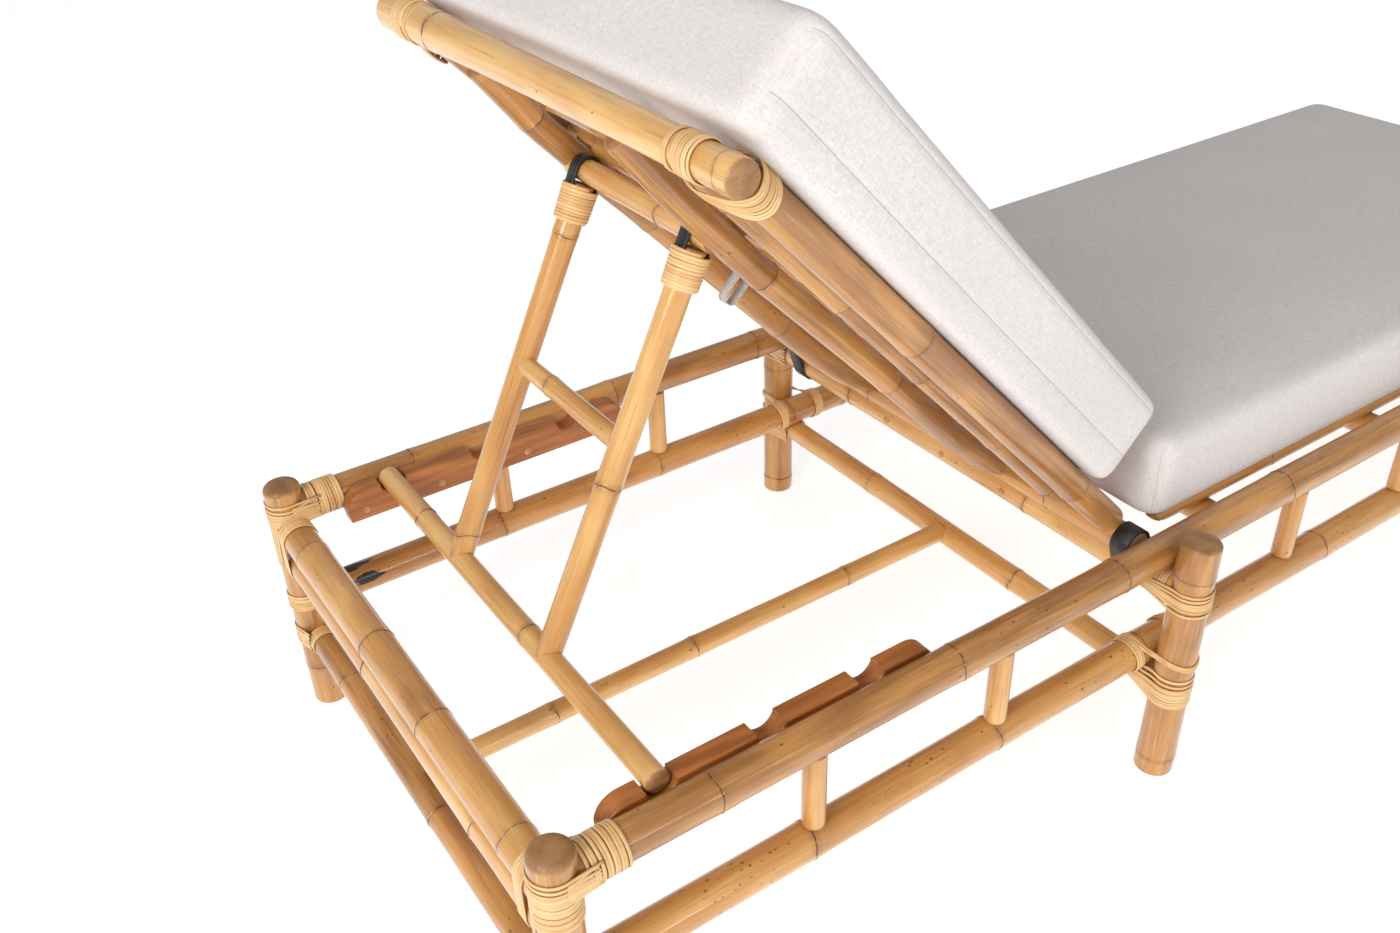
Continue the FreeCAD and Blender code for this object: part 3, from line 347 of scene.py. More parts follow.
def make_hardwood():
    material, n, shader = new_material("oiled_hardwood", 0.45, coat=0.15, coat_roughness=0.3)
    place = n.attribute("grain_place", "Vector")
    streaks = n.group(FIBRES, {"Place": place, "Fine": 700.0, "Broad": 110.0})
    wood = n.mix(n.band(streaks["Bands"], 0.3, 0.7), colour(150, 88, 38), colour(186, 114, 52))
    wood = n.mix(n.band(streaks["Fibres"], 0.52, 0.75, 0.0, 0.6), wood, colour(98, 54, 26))
    pores = n.group(FLECKS, {"Place": place, "Across": 420.0, "Along": 70.0, "Amount": 0.9})["Mask"]
    wood = n.mix(n.times(pores, 0.45), wood, colour(76, 42, 22))
    n.feed(shader["Base Color"], wood)
    n.feed(shader["Roughness"], n.scaled(streaks["Fibres"], 0.25, 0.32))
    add_bump(n, shader, streaks["Fibres"], 0.0004, 0.5)
    return material


def make_plug_wood():
    material, n, shader = new_material("sanded_plug", 0.5, coat=0.1)
    place = n.attribute("grain_place", "Vector")
    pores = n.group(PORES, {"Place": place, "Scale": 900.0})["Mask"]
    patches = n.band(n.noise(place, 160.0, 2.0), 0.35, 0.65)
    wood = n.mix(patches, colour(206, 160, 108), colour(172, 122, 74))
    n.feed(shader["Base Color"], n.mix(n.times(pores, 0.5), wood, colour(120, 80, 48)))
    add_bump(n, shader, pores, 0.0003, 0.4)
    return material


def make_leather():
    material, n, shader = new_material("black_leather", 0.5)
    place = n.add("ShaderNodeTexCoord").outputs["Object"]
    grain = n.add("ShaderNodeTexVoronoi", {"Vector": place, "Scale": 900.0}).outputs["Distance"]
    rubbed = n.band(n.noise(place, 90.0, 3.0), 0.45, 0.75)
    n.feed(shader["Base Color"], n.mix(rubbed, colour(26, 25, 26), colour(52, 50, 50)))
    n.feed(shader["Roughness"], n.scaled(rubbed, 0.18, 0.38))
    add_bump(n, shader, grain, 0.0004, 0.5)
    return material


def make_fabric(name, pale, dark, threads, contrast):
    """Woven cloth; seams show as thin sunken lines."""
    material, n, shader = new_material(name, 0.9, specular=0.2, sheen=0.15)
    place = n.add("ShaderNodeUVMap", uv_map="cloth").outputs[0]
    weave = n.group(WEAVE, {"Place": place, "Threads": threads})
    broad = n.group(WEAVE, {"Place": place, "Threads": threads * 0.3})
    heather = n.scaled(broad["Heather"], 0.55, n.times(weave["Heather"], 0.75))
    mixed = n.mix(n.band(heather, 0.65 - contrast, 0.65 + contrast), dark, pale)
    worn = n.noise(place, 6.0, 2.0)
    mixed = n.mix(n.band(worn, 0.3, 0.7, 0.0, 0.22), mixed, dark)
    seam = n.math("ABSOLUTE", n.attribute("seam_distance", "Fac"))
    line = n.band(seam, 0.0008, 0.0002)
    ditch = n.band(seam, 0.006, 0.0)
    n.feed(shader["Base Color"], n.mix(n.times(line, 0.5), mixed, colour(140, 130, 125)))
    n.feed(shader["Roughness"], n.scaled(weave["Height"], 0.12, 0.82))
    height = n.math("SUBTRACT", n.times(weave["Height"], 0.5), n.times(ditch, 1.4))
    add_bump(n, shader, height, 0.0008, 0.5)
    return material


def make_steel():
    material, n, shader = new_material("screw_steel", 0.35)
    place = n.add("ShaderNodeTexCoord").outputs["Object"]
    shader["Metallic"].default_value = 1.0
    brushed = n.noise(place, 700.0, 2.0)
    n.feed(shader["Base Color"], n.mix(brushed, colour(150, 148, 146), colour(190, 188, 186)))
    return material


RATTAN = make_rattan()
CANE = make_cane()
HARDWOOD = make_hardwood()
PLUG_WOOD = make_plug_wood()
LEATHER = make_leather()
LINEN = make_fabric("heathered_linen", colour(237, 231, 228), colour(205, 197, 193), 1500.0, 0.2)
TAPE = make_fabric("pale_tape", colour(216, 212, 206), colour(176, 172, 168), 1400.0, 0.15)
STEEL = make_steel()


# Meshes.
class Form:
    """Collects the vertices, faces and point values of one piece, in millimetres."""

    def __init__(self):
        self.points = []
        self.faces = []
        self.values = {}
        self.count = 0

    def add(self, points, faces, **values):
        points = np.asarray(points, float).reshape(-1, 3)
        self.points.append(points)
        self.faces += [[i + self.count for i in face] for face in faces]
        for key, numbers in values.items():
            self.values.setdefault(key, []).append(np.asarray(numbers, float))
        self.count += len(points)

    def build(self, name, material, body, node, smooth=True):
        """Makes the piece's object, gives it its values and hangs it on its body."""
        mesh = bpy.data.meshes.new(name)
        mesh.from_pydata((np.concatenate(self.points) * MM).tolist(), [], self.faces)
        mesh.polygons.foreach_set("use_smooth", [smooth] * len(mesh.polygons))
        for key, parts in self.values.items():
            numbers = np.concatenate(parts)
            if numbers.ndim == 2:
                layer = mesh.attributes.new(key, "FLOAT_VECTOR", "POINT")
                layer.data.foreach_set("vector", numbers.astype(np.float32).ravel())
            else:
                layer = mesh.attributes.new(key, "FLOAT", "POINT")
                layer.data.foreach_set("value", numbers.astype(np.float32))
        mesh.validate()
        mesh.materials.append(material)
        piece = place_object(name, mesh)
        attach(piece, body)
        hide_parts(node)
        return piece


def grid_faces(rows, columns):
    """Quads of a tube: rows of points round it, closed across the columns."""
    faces = []
    for row in range(rows - 1):
        low = row * columns
        for column in range(columns):
            after = (column + 1) % columns
            faces.append([low + column, low + after, low + columns + after, low + columns + column])
    return faces


def tube_faces(rows, columns):
    """Quads of a tube and a face over each of its ends."""
    faces = grid_faces(rows, columns)
    faces.append(list(range(columns))[::-1])
    faces.append([(rows - 1) * columns + k for k in range(columns)])
    return faces


def frame_of(axis):
    """Two directions square to an axis and to each other."""
    helper = np.array([0.0, 0.0, 1.0]) if abs(axis[Z]) < 0.9 else np.array([1.0, 0.0, 0.0])
    first = unit(np.cross(helper, axis))
    return first, np.cross(axis, first)


POLE_SIDES = 28
STATION_GAP, LEAST_STATION_GAP = 9, 0.12
RING_STEPS = np.array([-5, -3, -2, -1.4, -0.9, -0.45, 0, 0.45, 0.9, 1.4, 2, 3, 5])
RING_END_ROOM = 8
NO_RING_NEAR = 200.0
CAP_SHARES, CAP_RISE = (0.72, 0.4), 0.5
OVAL, OVAL_WAVE = 0.012, 180
RIPPLE, RIPPLE_WAVE = 0.004, 37
RING_LIP, RING_SHOULDER, RING_GROOVE = 0.42, 0.5, 0.38
TONE_SPREAD = 0.13


def grown_rings(rng, length, ring_gap):
    """Places of a pole's rings, roughly a gap apart."""
    rings = []
    at = rng.uniform(0.15, 0.95) * ring_gap
    while at < length - 12:
        rings.append(at)
        at += ring_gap * rng.uniform(0.75, 1.25)
    return rings


def pole_stations(length, rings, rounding):
    """Distances along a pole where its skin has points: even steps, closer at rings and rounded ends."""
    quarter = np.linspace(0, math.pi / 2, 6)
    stations = [np.linspace(0, length, max(3, int(length / STATION_GAP) + 1))]
    stations += [ring + RING_STEPS for ring in rings]
    stations.append(rounding[0] * (1 - np.cos(quarter)))
    stations.append(length - rounding[1] * (1 - np.cos(quarter)))
    along = np.unique(np.round(np.clip(np.concatenate(stations), 0, length), 3))
    keep = np.concatenate([[True], np.diff(along) > LEAST_STATION_GAP])
    keep[-1] = True
    return along[keep]


def close_pole(form, points, place, axis, tone, freckle, coped):
    """Slightly domed ends for the pole whose skin was added last; a coped start isn't a sawn one."""
    rows = len(points)
    skin = form.count - rows * POLE_SIDES
    count = 2 * POLE_SIDES + 1
    for row, way in ((0, -1), (rows - 1, 1)):
        rim, rim_place = points[row], place[row]
        middle, hub = rim.mean(axis=0), rim_place.mean(axis=0)
        cap_points = [middle + (rim - middle) * f + axis * way * CAP_RISE * (1 - f) for f in CAP_SHARES]
        cap_points.append((middle + axis * way * CAP_RISE)[None])
        cap_place = [hub + (rim_place - hub) * f for f in CAP_SHARES] + [hub[None]]
        sawn = 0.0 if coped and row == 0 else 1.0
        base = form.count
        form.add(np.concatenate(cap_points), [], pole_place=np.concatenate(cap_place),
                 ring_distance=np.full(count, 0.2), pole_tone=np.full(count, tone),
                 cut_end=np.full(count, sawn), scorch=np.zeros(count), freckle=np.full(count, freckle))
        loops = [skin + row * POLE_SIDES, base, base + POLE_SIDES]
        quads = [(outer, inner, column)
                 for outer, inner in zip(loops, loops[1:]) for column in range(POLE_SIDES)]
        for outer, inner, column in quads:
            after = (column + 1) % POLE_SIDES
            quad = [outer + column, outer + after, inner + after, inner + column]
            form.faces.append(quad if way > 0 else quad[::-1])
        for column in range(POLE_SIDES):
            fan = [loops[2] + column, loops[2] + (column + 1) % POLE_SIDES, base + 2 * POLE_SIDES]
            form.faces.append(fan if way > 0 else fan[::-1])


def add_pole(form, rng, start, end, diameter, tone=0.45, freckle=0.25, rounding=(2.5, 2.5), ring_gap=230,
             rings=None, cope=None, scorch=(), bow=0.7, taper=None, bend=None, scarfs=()):
    """One grown pole with its rings, slight bends and sanded ends.

    taper and bend give thickness factors and shifts by distance from the start. cope is the axis and the
    radius of the bar that the start is cut to fit, and the length that follows it. Each scarf is a slanted
    cut: at the start or not, the side cut away, its run, and its depth as a share of the diameter.
    """
    start, end = np.asarray(start, float), np.asarray(end, float)
    length = float(np.linalg.norm(end - start))
    axis = unit(end - start)
    first, second = frame_of(axis)
    radius = diameter / 2
    if rings is None:
        rings = grown_rings(rng, length, ring_gap)
    rings = np.array([r for r in rings if RING_END_ROOM < r < length - RING_END_ROOM])
    along = pole_stations(length, rings, rounding)
    turn = np.linspace(0, ROUND, POLE_SIDES, endpoint=False)
    s, t = np.meshgrid(along, turn, indexing="ij")
    lobes = np.sin(2 * t + rng.uniform(0, 6))
    swell = radius * (1 + OVAL * lobes * np.sin(s / OVAL_WAVE + rng.uniform(0, 6)))
    swell += RIPPLE * radius * np.sin(s / RIPPLE_WAVE + rng.uniform(0, 6))
    if taper is not None:
        swell = swell * np.interp(s, *taper)
    nearest = np.full(s.shape, NO_RING_NEAR)
    for r in rings:
        a, b, c = rng.uniform(0, 6, 3)
        wave = 1.0 * np.sin(t + a) + 0.7 * np.sin(2 * t + b) + 0.5 * np.round(1.4 * np.sin(4 * t + c))
        away = s - r - wave
        drawn = away * rng.uniform(0.8, 1.7)
        nearest = np.where(np.abs(drawn) < np.abs(nearest), drawn, nearest)
        way = 1 if rng.random() < 0.8 else -1
        lip, shoulder = (away * way - 1.1) / 1.0, (away * way - 4) / 11.0
        swell += RING_LIP * np.exp(-lip ** 2) + RING_SHOULDER * np.exp(-shoulder ** 2)
        swell -= RING_GROOVE * np.exp(-(away / 0.55) ** 2)
    for edge, room in ((s, rounding[0]), (length - s, rounding[1])):
        inside = edge < room
        if room > 0:
            drop = room - np.sqrt(np.maximum(room ** 2 - (room - np.minimum(edge, room)) ** 2, 0))
            swell = np.where(inside, swell - drop, swell)
    knots = np.concatenate([[0], rings, [length]])
    sway = np.concatenate([[0], rng.uniform(-bow, bow, len(rings)), [0]])
    sway_two = np.concatenate([[0], rng.uniform(-bow, bow, len(rings)), [0]])
    shift = np.interp(s, knots, sway)
    shift_two = np.interp(s, knots, sway_two)
    reach = s.copy()
    if cope is not None:
        bar_axis, bar_radius, end_room = cope
        lateral = unit(np.cross(axis, bar_axis))
        aside = swell * (np.cos(t) * first.dot(lateral) + np.sin(t) * second.dot(lateral))
        seat = np.sqrt(np.maximum(bar_radius ** 2 - aside ** 2, 0))
        near = np.maximum(0, 1 - s / end_room)
        reach = s + seat * near
    points = (start + reach[..., None] * axis
              + (swell * np.cos(t) + shift)[..., None] * first
              + (swell * np.sin(t) + shift_two)[..., None] * second)
    sliced = np.zeros(s.shape)
    for at_start, side, run, depth in scarfs:
        share = np.clip(1 - (s if at_start else length - s) / run, 0, 1)
        aside = swell * (np.cos(t) * first.dot(side) + np.sin(t) * second.dot(side))
        over = aside - radius * (1 - 2 * depth * share ** 1.6)
        points -= np.where((over > 0) & (share > 0), over, 0)[..., None] * side
        sliced = np.maximum(sliced, np.where(share > 0, np.clip(over / 1.5, 0, 1), 0))
    if bend is not None:
        for i in (X, Y, Z):
            points[..., i] += np.interp(s, bend[0], bend[1][:, i])
    cut = np.maximum(np.clip((rounding[0] - s) / max(rounding[0] * 0.5, 0.2), 0, 1),
                     np.clip((s - length + rounding[1]) / max(rounding[1] * 0.5, 0.2), 0, 1))
    if cope is not None:
        cut = np.where(s < length / 2, 0, cut)
    cut = np.maximum(cut, 0.6 * sliced)
    burnt = np.zeros(s.shape)
    for place, angle, half_length, half_turn in scorch:
        around = np.abs((t - angle + math.pi) % ROUND - math.pi)
        tail = np.where(s > place, 2.6, 0.8) * half_length
        burnt = np.maximum(burnt, 1 - np.hypot((s - place) / tail, around / half_turn))
    levels = rng.uniform(-TONE_SPREAD, TONE_SPREAD, len(rings) + 2)
    borders = np.repeat(rings, 2) + np.tile([-1, 1], len(rings))
    shade = tone + np.interp(s, np.concatenate([[0], borders, [length]]),
                             np.repeat(levels[:len(rings) + 1], 2))
    far = rng.uniform(0, 4, 3)
    place = np.stack([swell * np.cos(t) * MM + far[0], swell * np.sin(t) * MM + far[1], s * MM + far[2]],
                     axis=-1)
    form.add(points, grid_faces(len(along), POLE_SIDES), pole_place=place.reshape(-1, 3),
             ring_distance=(nearest * MM).ravel(), pole_tone=shade.ravel(), cut_end=cut.ravel(),
             scorch=burnt.ravel(), freckle=np.full(s.size, freckle))
    close_pole(form, points, place, axis, tone, freckle, cope is not None)


def box_pole(node, axis, grow=(0, 0)):
    """The run of a straight pole, from its packed box: start, end and diameter."""
    low, high = millimetres(node)
    middle = (low + high) / 2
    start, end = middle.copy(), middle.copy()
    start[axis], end[axis] = low[axis] - grow[0], high[axis] + grow[1]
    aside = [i for i in (X, Y, Z) if i != axis]
    return start, end, float(min((high - low)[aside]))


def one_pole(node, body, seed, run, **look):
    """A piece that is a single pole."""
    form = Form()
    add_pole(form, np.random.default_rng(seed), *run, **look)
    form.build(f"pole_{node}", RATTAN, body, node)


def box_piece(node, body, seed, axis, grow=(0, 0), **look):
    """A piece that is a single straight pole in its packed place."""
    one_pole(node, body, seed, box_pole(node, axis, grow), **look)


ENDS = {"head": 1, "foot": -1}
RAIL_INTO_POSTS = (10, 10)
RAIL_SCORCH = [(50, 1.6, 24, 0.75), (62, 2.75, 24, 0.75)]
SEAT_EDGE_CUT = (True, unit((0.3, 0, -1)), 42, 0.55)


def build_frame_poles():
    for number, end in enumerate(ENDS):
        for side in SIDES:
            box_piece(f"{end}_post_{side}", "frame", 10 + 2 * number + (side == "left"), Z,
                      tone=0.6, rounding=(2.0, 8.0), rings=[58, 236], bow=0.3)
    for side, sign in SIDES.items():
        left = side == "left"
        box_piece(f"mid_leg_{side}", "frame", 15 + left, Z, tone=0.66, rounding=(2.0, 4.5),
                  rings=[22, 206 if left else 268], bow=0.3, freckle=0.1)
        box_piece(f"upper_side_rail_{side}", "frame", 20 + sign, X, RAIL_INTO_POSTS,
                  tone=0.74 if left else 0.84, freckle=0.3, rings=[150, 420, 640, 905, 1190, 1480, 1690])
        box_piece(f"lower_side_rail_{side}", "frame", 24 + sign, X, RAIL_INTO_POSTS,
                  tone=0.62 if left else 0.44, freckle=1.2, scorch=RAIL_SCORCH if left else (),
                  rings=[250, 480, 700, 790, 1010, 1240, 1470, 1680])
    for number, end in enumerate(ENDS):
        for rail, seed, tone, ring_gap in (("top", 30, 0.5, 170), ("under", 33, 0.42, 240),
                                           ("lower", 36, 0.74, 200)):
            box_piece(f"{end}_{rail}_rail", "frame", seed + number, Y, tone=tone, ring_gap=ring_gap)
    box_piece("hinge_bar", "frame", 40, Y, tone=0.32, ring_gap=280)
    box_piece("mid_lower_stretcher", "frame", 41, Y, tone=0.34, ring_gap=230, freckle=0.5)
    box_piece("centre_stretcher", "frame", 42, X, tone=0.22, ring_gap=185, freckle=0.5)
    for number, side in enumerate(SIDES):
        box_piece(f"seat_edge_pole_{side}", "frame", 46 + number, X, tone=0.55, ring_gap=260,
                  scarfs=[SEAT_EDGE_CUT])


def build_spindles_and_deck():
    """The short uprights between the side rails, then the seat's bearers and inner poles."""
    rng = np.random.default_rng(50)
    spindles = Form()
    middle = middle_of("mid_leg_left")[X]
    for side in SIDES:
        y = middle_of(f"lower_side_rail_{side}")[Y]
        foot = millimetres(f"lower_side_rail_{side}")[1][Z] - SPINDLE_SUNK
        head = millimetres(f"upper_side_rail_{side}")[0][Z] + SPINDLE_SUNK
        for step in SPINDLE_STEPS:
            x = middle + step * SPINDLE_PITCH
            add_pole(spindles, rng, (x, y, foot), (x, y, head), SPINDLE_D, tone=0.4, rounding=(6, 3),
                     ring_gap=400, bow=0.1)
    spindles.build("poles_side_spindles", RATTAN, "frame", "side_spindles")
    for name, node, along, across in (("bearers", "seat_bearers", Y, X), ("deck", "seat_poles", X, Y)):
        form = Form()
        low, high = millimetres(node)
        diameter = high[Z] - low[Z]
        spread = high[across] - low[across] - diameter
        for number in range(DECK_POLES):
            start, end = middle_of(node), middle_of(node)
            start[along], end[along] = low[along], high[along]
            aside = low[across] + diameter / 2 + number * spread / (DECK_POLES - 1)
            start[across] = end[across] = aside
            add_pole(form, rng, start, end, diameter, tone=0.5)
        form.build(f"poles_seat_{name}", RATTAN, "frame", node)


def back_run(foot, head, across, front, diameter):
    """The run of a pole that lies up the backrest."""
    return on_back(foot, across, front), on_back(head, across, front), diameter


def build_back_poles():
    thickness = (np.array([0, 60, 280, 400, 470, 579]), np.array([0.83, 0.86, 0.92, 1.0, 1.07, 1.06]))
    lift = (np.array([0, 150, 290, 430, 579]), np.outer([0, 2.6, 3.4, 2.6, 0], UP_BACK))
    box_piece("back_top_bar", "backrest", 60, Y, tone=0.2, rounding=(5, 5), freckle=0.1, rings=[18, 464],
              taper=thickness, bend=lift, bow=0.3)
    box_piece("back_bottom_bar", "backrest", 61, Y, tone=0.42, rounding=(4, 4), ring_gap=260)
    behind = -OFF_BACK
    for number, (side, sign) in enumerate(SIDES.items()):
        run = back_run(10, BACK_LENGTH - 8, sign * STILE_Y, STILE_FRONT, STILE_D)
        one_pole(f"back_stile_{side}", "backrest", 62 + number, run, tone=0.78, freckle=0.3,
                 rings=[96, 425] if side == "right" else [150, 470], scarfs=[(False, OFF_BACK, 36, 0.78)])
        foot, head = 6.0, BACK_LENGTH - 14
        stations = np.array([0, 60, 130, head - 170, head - 95, head - foot])
        forward = np.outer([10, 4, 0, 0, 1.5, 8], OFF_BACK)
        run = back_run(foot, head, sign * SLAT_Y, SLAT_FRONT, SLAT_D)
        one_pole(f"back_slat_{side}", "backrest", 64 + number, run, tone=0.76, freckle=0.3, ring_gap=230,
                 bow=1.6, bend=(stations, forward), scarfs=[(True, behind, 85, 0.8)])
        run = back_run(8, BACK_LENGTH - 20, sign * EDGE_POLE_Y, EDGE_POLE_FRONT, EDGE_POLE_D)
        one_pole(f"back_edge_pole_{side}", "backrest", 66 + number, run, tone=0.8, ring_gap=150, bow=1.2,
                 scarfs=[(True, behind, 70, 0.75)])
    box_piece("prop_pivot_bar", "backrest", 70, Y, tone=0.42, ring_gap=170)
    box_piece("back_rung", "backrest", 71, Y, tone=0.5, ring_gap=240)
    thin = Form()
    rng = np.random.default_rng(72)
    for n in range(CROSS_SLATS):
        up = CROSS_SLAT_START + n * CROSS_SLAT_PITCH
        add_pole(thin, rng, on_back(up, -CROSS_SLAT_HALF, CROSS_SLAT_FRONT),
                 on_back(up, CROSS_SLAT_HALF, CROSS_SLAT_FRONT), CROSS_SLAT_D, tone=0.5, ring_gap=160,
                 bow=0.4)
    thin.build("poles_back_cross_slats", RATTAN, "backrest", "back_cross_slats")


def build_prop_poles():
    box_piece("prop_crossbar", "prop", 80, Y, tone=0.3, rounding=(4, 4), ring_gap=310, freckle=0.1)
    radius = half_height("prop_crossbar") + 0.1
    top = PROP_LENGTH - 13
    for number, (side, sign) in enumerate(SIDES.items()):
        run = (on_prop(0, sign * PROP_LEG_Y), on_prop(top, sign * PROP_LEG_Y), PROP_LEG_D)
        left = side == "left"
        one_pole(f"prop_leg_{side}", "prop", 81 + number, run, tone=0.48 if left else 0.3, freckle=0.08,
                 rounding=(1.5, 2.0), rings=[27, 352] if left else [178], cope=(ACROSS, radius, 40.0))
    run = (on_prop(PROP_BRACE_UP, -PROP_LEG_Y + 6), on_prop(PROP_BRACE_UP, PROP_LEG_Y - 6), PROP_BRACE_D)
    one_pole("prop_brace", "prop", 84, run, tone=0.32, ring_gap=170)


# Cane: flat strands with a rounded back.
STRAND_SECTION = np.array([(-0.5, 0.0), (-0.46, 0.62), (-0.25, 0.96), (0.0, 1.05), (0.25, 0.96),
                           (0.46, 0.62), (0.5, 0.0), (0.0, -0.1)])
TURN_STEPS, UPRIGHT_STEPS, LOOP_STEPS = 40, 14, 90


def travelled_along(path):
    """Distance from the start at each point of a path."""
    return np.concatenate([[0], np.cumsum(np.linalg.norm(np.diff(path, axis=0), axis=1))])


def add_strand(form, rng, path, outward, width=CANE_WIDTH):
    """A strand along a path; outward gives the direction of its rounded back at each point."""
    path, outward = np.asarray(path, float), np.asarray(outward, float)
    heading = unit_rows(np.gradient(path, axis=0))
    outward = unit_rows(outward - heading * np.sum(outward * heading, axis=1)[:, None])
    sideways = np.cross(heading, outward)
    travelled = travelled_along(path)
    far = rng.uniform(0, 4, 3)
    rows, sides = len(path), len(STRAND_SECTION)
    waver = width * (1 + 0.06 * np.sin(travelled / 17 + far[0] * 5))
    across = STRAND_SECTION[:, 0]
    lift = STRAND_SECTION[:, 1]
    points = (path[:, None] + sideways[:, None] * (waver[:, None] * across)[..., None]
              + outward[:, None] * (CANE_THICKNESS * lift)[None, :, None])
    place = np.stack([np.broadcast_to(across * width * MM + far[0], (rows, sides)),
                      np.broadcast_to(lift * CANE_THICKNESS * MM + far[1], (rows, sides)),
                      np.broadcast_to((travelled * MM + far[2])[:, None], (rows, sides))], axis=-1)
    edge = np.broadcast_to(np.abs(across) * 2, (rows, sides))
    form.add(points, tube_faces(rows, sides), strand_place=place.reshape(-1, 3), strand_edge=edge.ravel())


def collar(form, rng, centre, axis, radius, start, turns, pitch, narrowing=0.0, wander=0.35):
    """Turns of cane round a pole, tucked in at both ends."""
    centre, axis = np.asarray(centre, float), unit(axis)
    first, second = frame_of(axis)
    count = int(turns * TURN_STEPS)
    turn = np.linspace(0, turns * ROUND, count)
    share = np.linspace(0, 1, count)
    tuck = np.minimum(np.minimum(share, 1 - share) * turns / 0.25, 1)
    reach = radius - narrowing * share + 0.1 * np.sin(turn * 0.37 + rng.uniform(0, 6)) - (1 - tuck) * 0.9
    lean = wander * (np.sin(turn * 0.5 + rng.uniform(0, 6)) + np.sin(turn * 1.13 + rng.uniform(0, 6)))
    radial = np.cos(turn)[:, None] * first + np.sin(turn)[:, None] * second
    path = centre + axis * (start + pitch * turn / ROUND + lean)[:, None] + radial * reach[:, None]
    add_strand(form, rng, path, radial)


def belt_points(reach, half, radius):
    """Plan of a strand that starts beside a rail, goes round a post at the origin and comes back."""
    distance = math.hypot(reach, half)
    bearing = math.atan2(half, reach)
    swing = math.acos(min(1.0, radius / distance))
    first = bearing + swing
    arc = np.linspace(first, ROUND - first, 26)
    round_post = np.stack([np.cos(arc), np.sin(arc)], axis=1)
    straight = np.linspace(0, 1, 9)[:-1, None]
    out = np.array([[reach, half]]) * (1 - straight) + round_post[0] * radius * straight
    back = np.array([[reach, -half]]) * straight[::-1] + round_post[-1] * radius * (1 - straight[::-1])
    path = np.concatenate([out, round_post * radius, back])
    facing = np.concatenate([np.repeat(round_post[:1], len(out), axis=0), round_post,
                             np.repeat(round_post[-1:], len(back), axis=0)])
    share = np.concatenate([straight[:, 0], np.ones(len(arc)), straight[::-1, 0]])
    return path, facing, share


def saddle(form, rng, crossing, post_axis, along, post_radius, rail_radius, heights, reach=34, gather=0.5):
    """Strands that come off a rail, go round the outside of a post and return.

    crossing is where the two axes meet, along points from the post into the rail, and heights are the
    strands' places up the post from the crossing.
    """
    post_axis, along = unit(post_axis), unit(along)
    sideways = np.cross(post_axis, along)
    for height in heights:
        height = height + rng.uniform(-0.4, 0.4)
        on_rail = float(np.clip(height * gather, -0.9 * rail_radius, 0.9 * rail_radius))
        half = math.sqrt(rail_radius ** 2 - on_rail ** 2) + 0.2
        plan, facing, share = belt_points(reach, half, post_radius + 0.15 + rng.uniform(0, 0.45))
        up = on_rail + (height - on_rail) * (0.5 - 0.5 * np.cos(np.pi * share))
        up = up + rng.uniform(-1.2, 1.2) * np.linspace(-1, 1, len(up)) * share
        path = (np.asarray(crossing, float) + plan[:, :1] * along + plan[:, 1:] * sideways
                + up[:, None] * post_axis)
        add_strand(form, rng, path, facing[:, :1] * along + facing[:, 1:] * sideways)


def loop(form, rng, centres, radii, axis, start, strands, pitch=3.3, gather=0.0, begin=0.0, slant=0.0):
    """Strands side by side round one or two poles that lie along an axis, drawn together at the bottom."""
    axis = unit(axis)
    first, second = frame_of(axis)
    centres = [np.asarray(c, float) for c in centres]
    bearings = begin + np.linspace(0, ROUND, 73)
    for number in range(strands):
        outs = np.cos(bearings)[:, None] * first + np.sin(bearings)[:, None] * second
        lift = rng.uniform(0.15, 0.5)
        ends = []
        for out in outs:
            reaches = [c.dot(out) + r for c, r in zip(centres, radii)]
            chosen = int(np.argmax(reaches))
            ends.append(centres[chosen] + out * (radii[chosen] + lift))
        ends = np.array(ends)
        travelled = travelled_along(ends)
        even = np.linspace(0, travelled[-1], LOOP_STEPS)
        path = np.stack([np.interp(even, travelled, ends[:, i]) for i in (X, Y, Z)], axis=1)
        outward = np.stack([np.interp(even, travelled, outs[:, i]) for i in (X, Y, Z)], axis=1)
        height = outward[:, Z]
        drawn = number * pitch * (1 - gather * (1 - height) / 2)
        place = start + drawn + rng.uniform(-0.3, 0.3) + slant * height
        origin = centres[0].dot(axis)
        path += ((origin + place) - path @ axis)[:, None] * axis
        add_strand(form, rng, path, outward)


def upright_strands(form, rng, post, radius, bearings, low, high):
    """Strands that lie along a post, their ends tucked under the turns round it."""
    for bearing in bearings:
        z = np.linspace(low, high, UPRIGHT_STEPS)
        lean = bearing + 0.10 * np.linspace(-1, 1, UPRIGHT_STEPS) + rng.uniform(-0.03, 0.03)
        out = np.stack([np.cos(lean), np.sin(lean), np.zeros(UPRIGHT_STEPS)], axis=1)
        path = np.stack([post[X] + radius * out[:, 0], post[Y] + radius * out[:, 1], z], axis=1)
        add_strand(form, rng, path, out)


def smooth_path(points, count=60):
    """A flowing path through the given points."""
    points = np.asarray(points, float)
    padded = np.concatenate([[2 * points[0] - points[1]], points, [2 * points[-1] - points[-2]]])
    path = []
    for share in np.linspace(0, len(points) - 1 - 1e-9, count):
        i, f = int(share), share % 1
        a, b, c, d = padded[i:i + 4]
        path.append(0.5 * (2 * b + (c - a) * f + (2 * a - 5 * b + 4 * c - d) * f ** 2
                           + (3 * b - a - 3 * c + d) * f ** 3))
    return np.array(path)


UPWARD = np.array([0, 0, 1.0])


def upright_of(node):
    """Middle and radius of an upright pole."""
    low, high = millimetres(node)
    return (low + high) / 2, (high - low)[X] / 2


def crossing_of(upright, rail):
    """Where an upright meets the level of a rail, and the rail's radius."""
    return np.array([upright[X], upright[Y], middle_of(rail)[Z]]), half_height(rail)


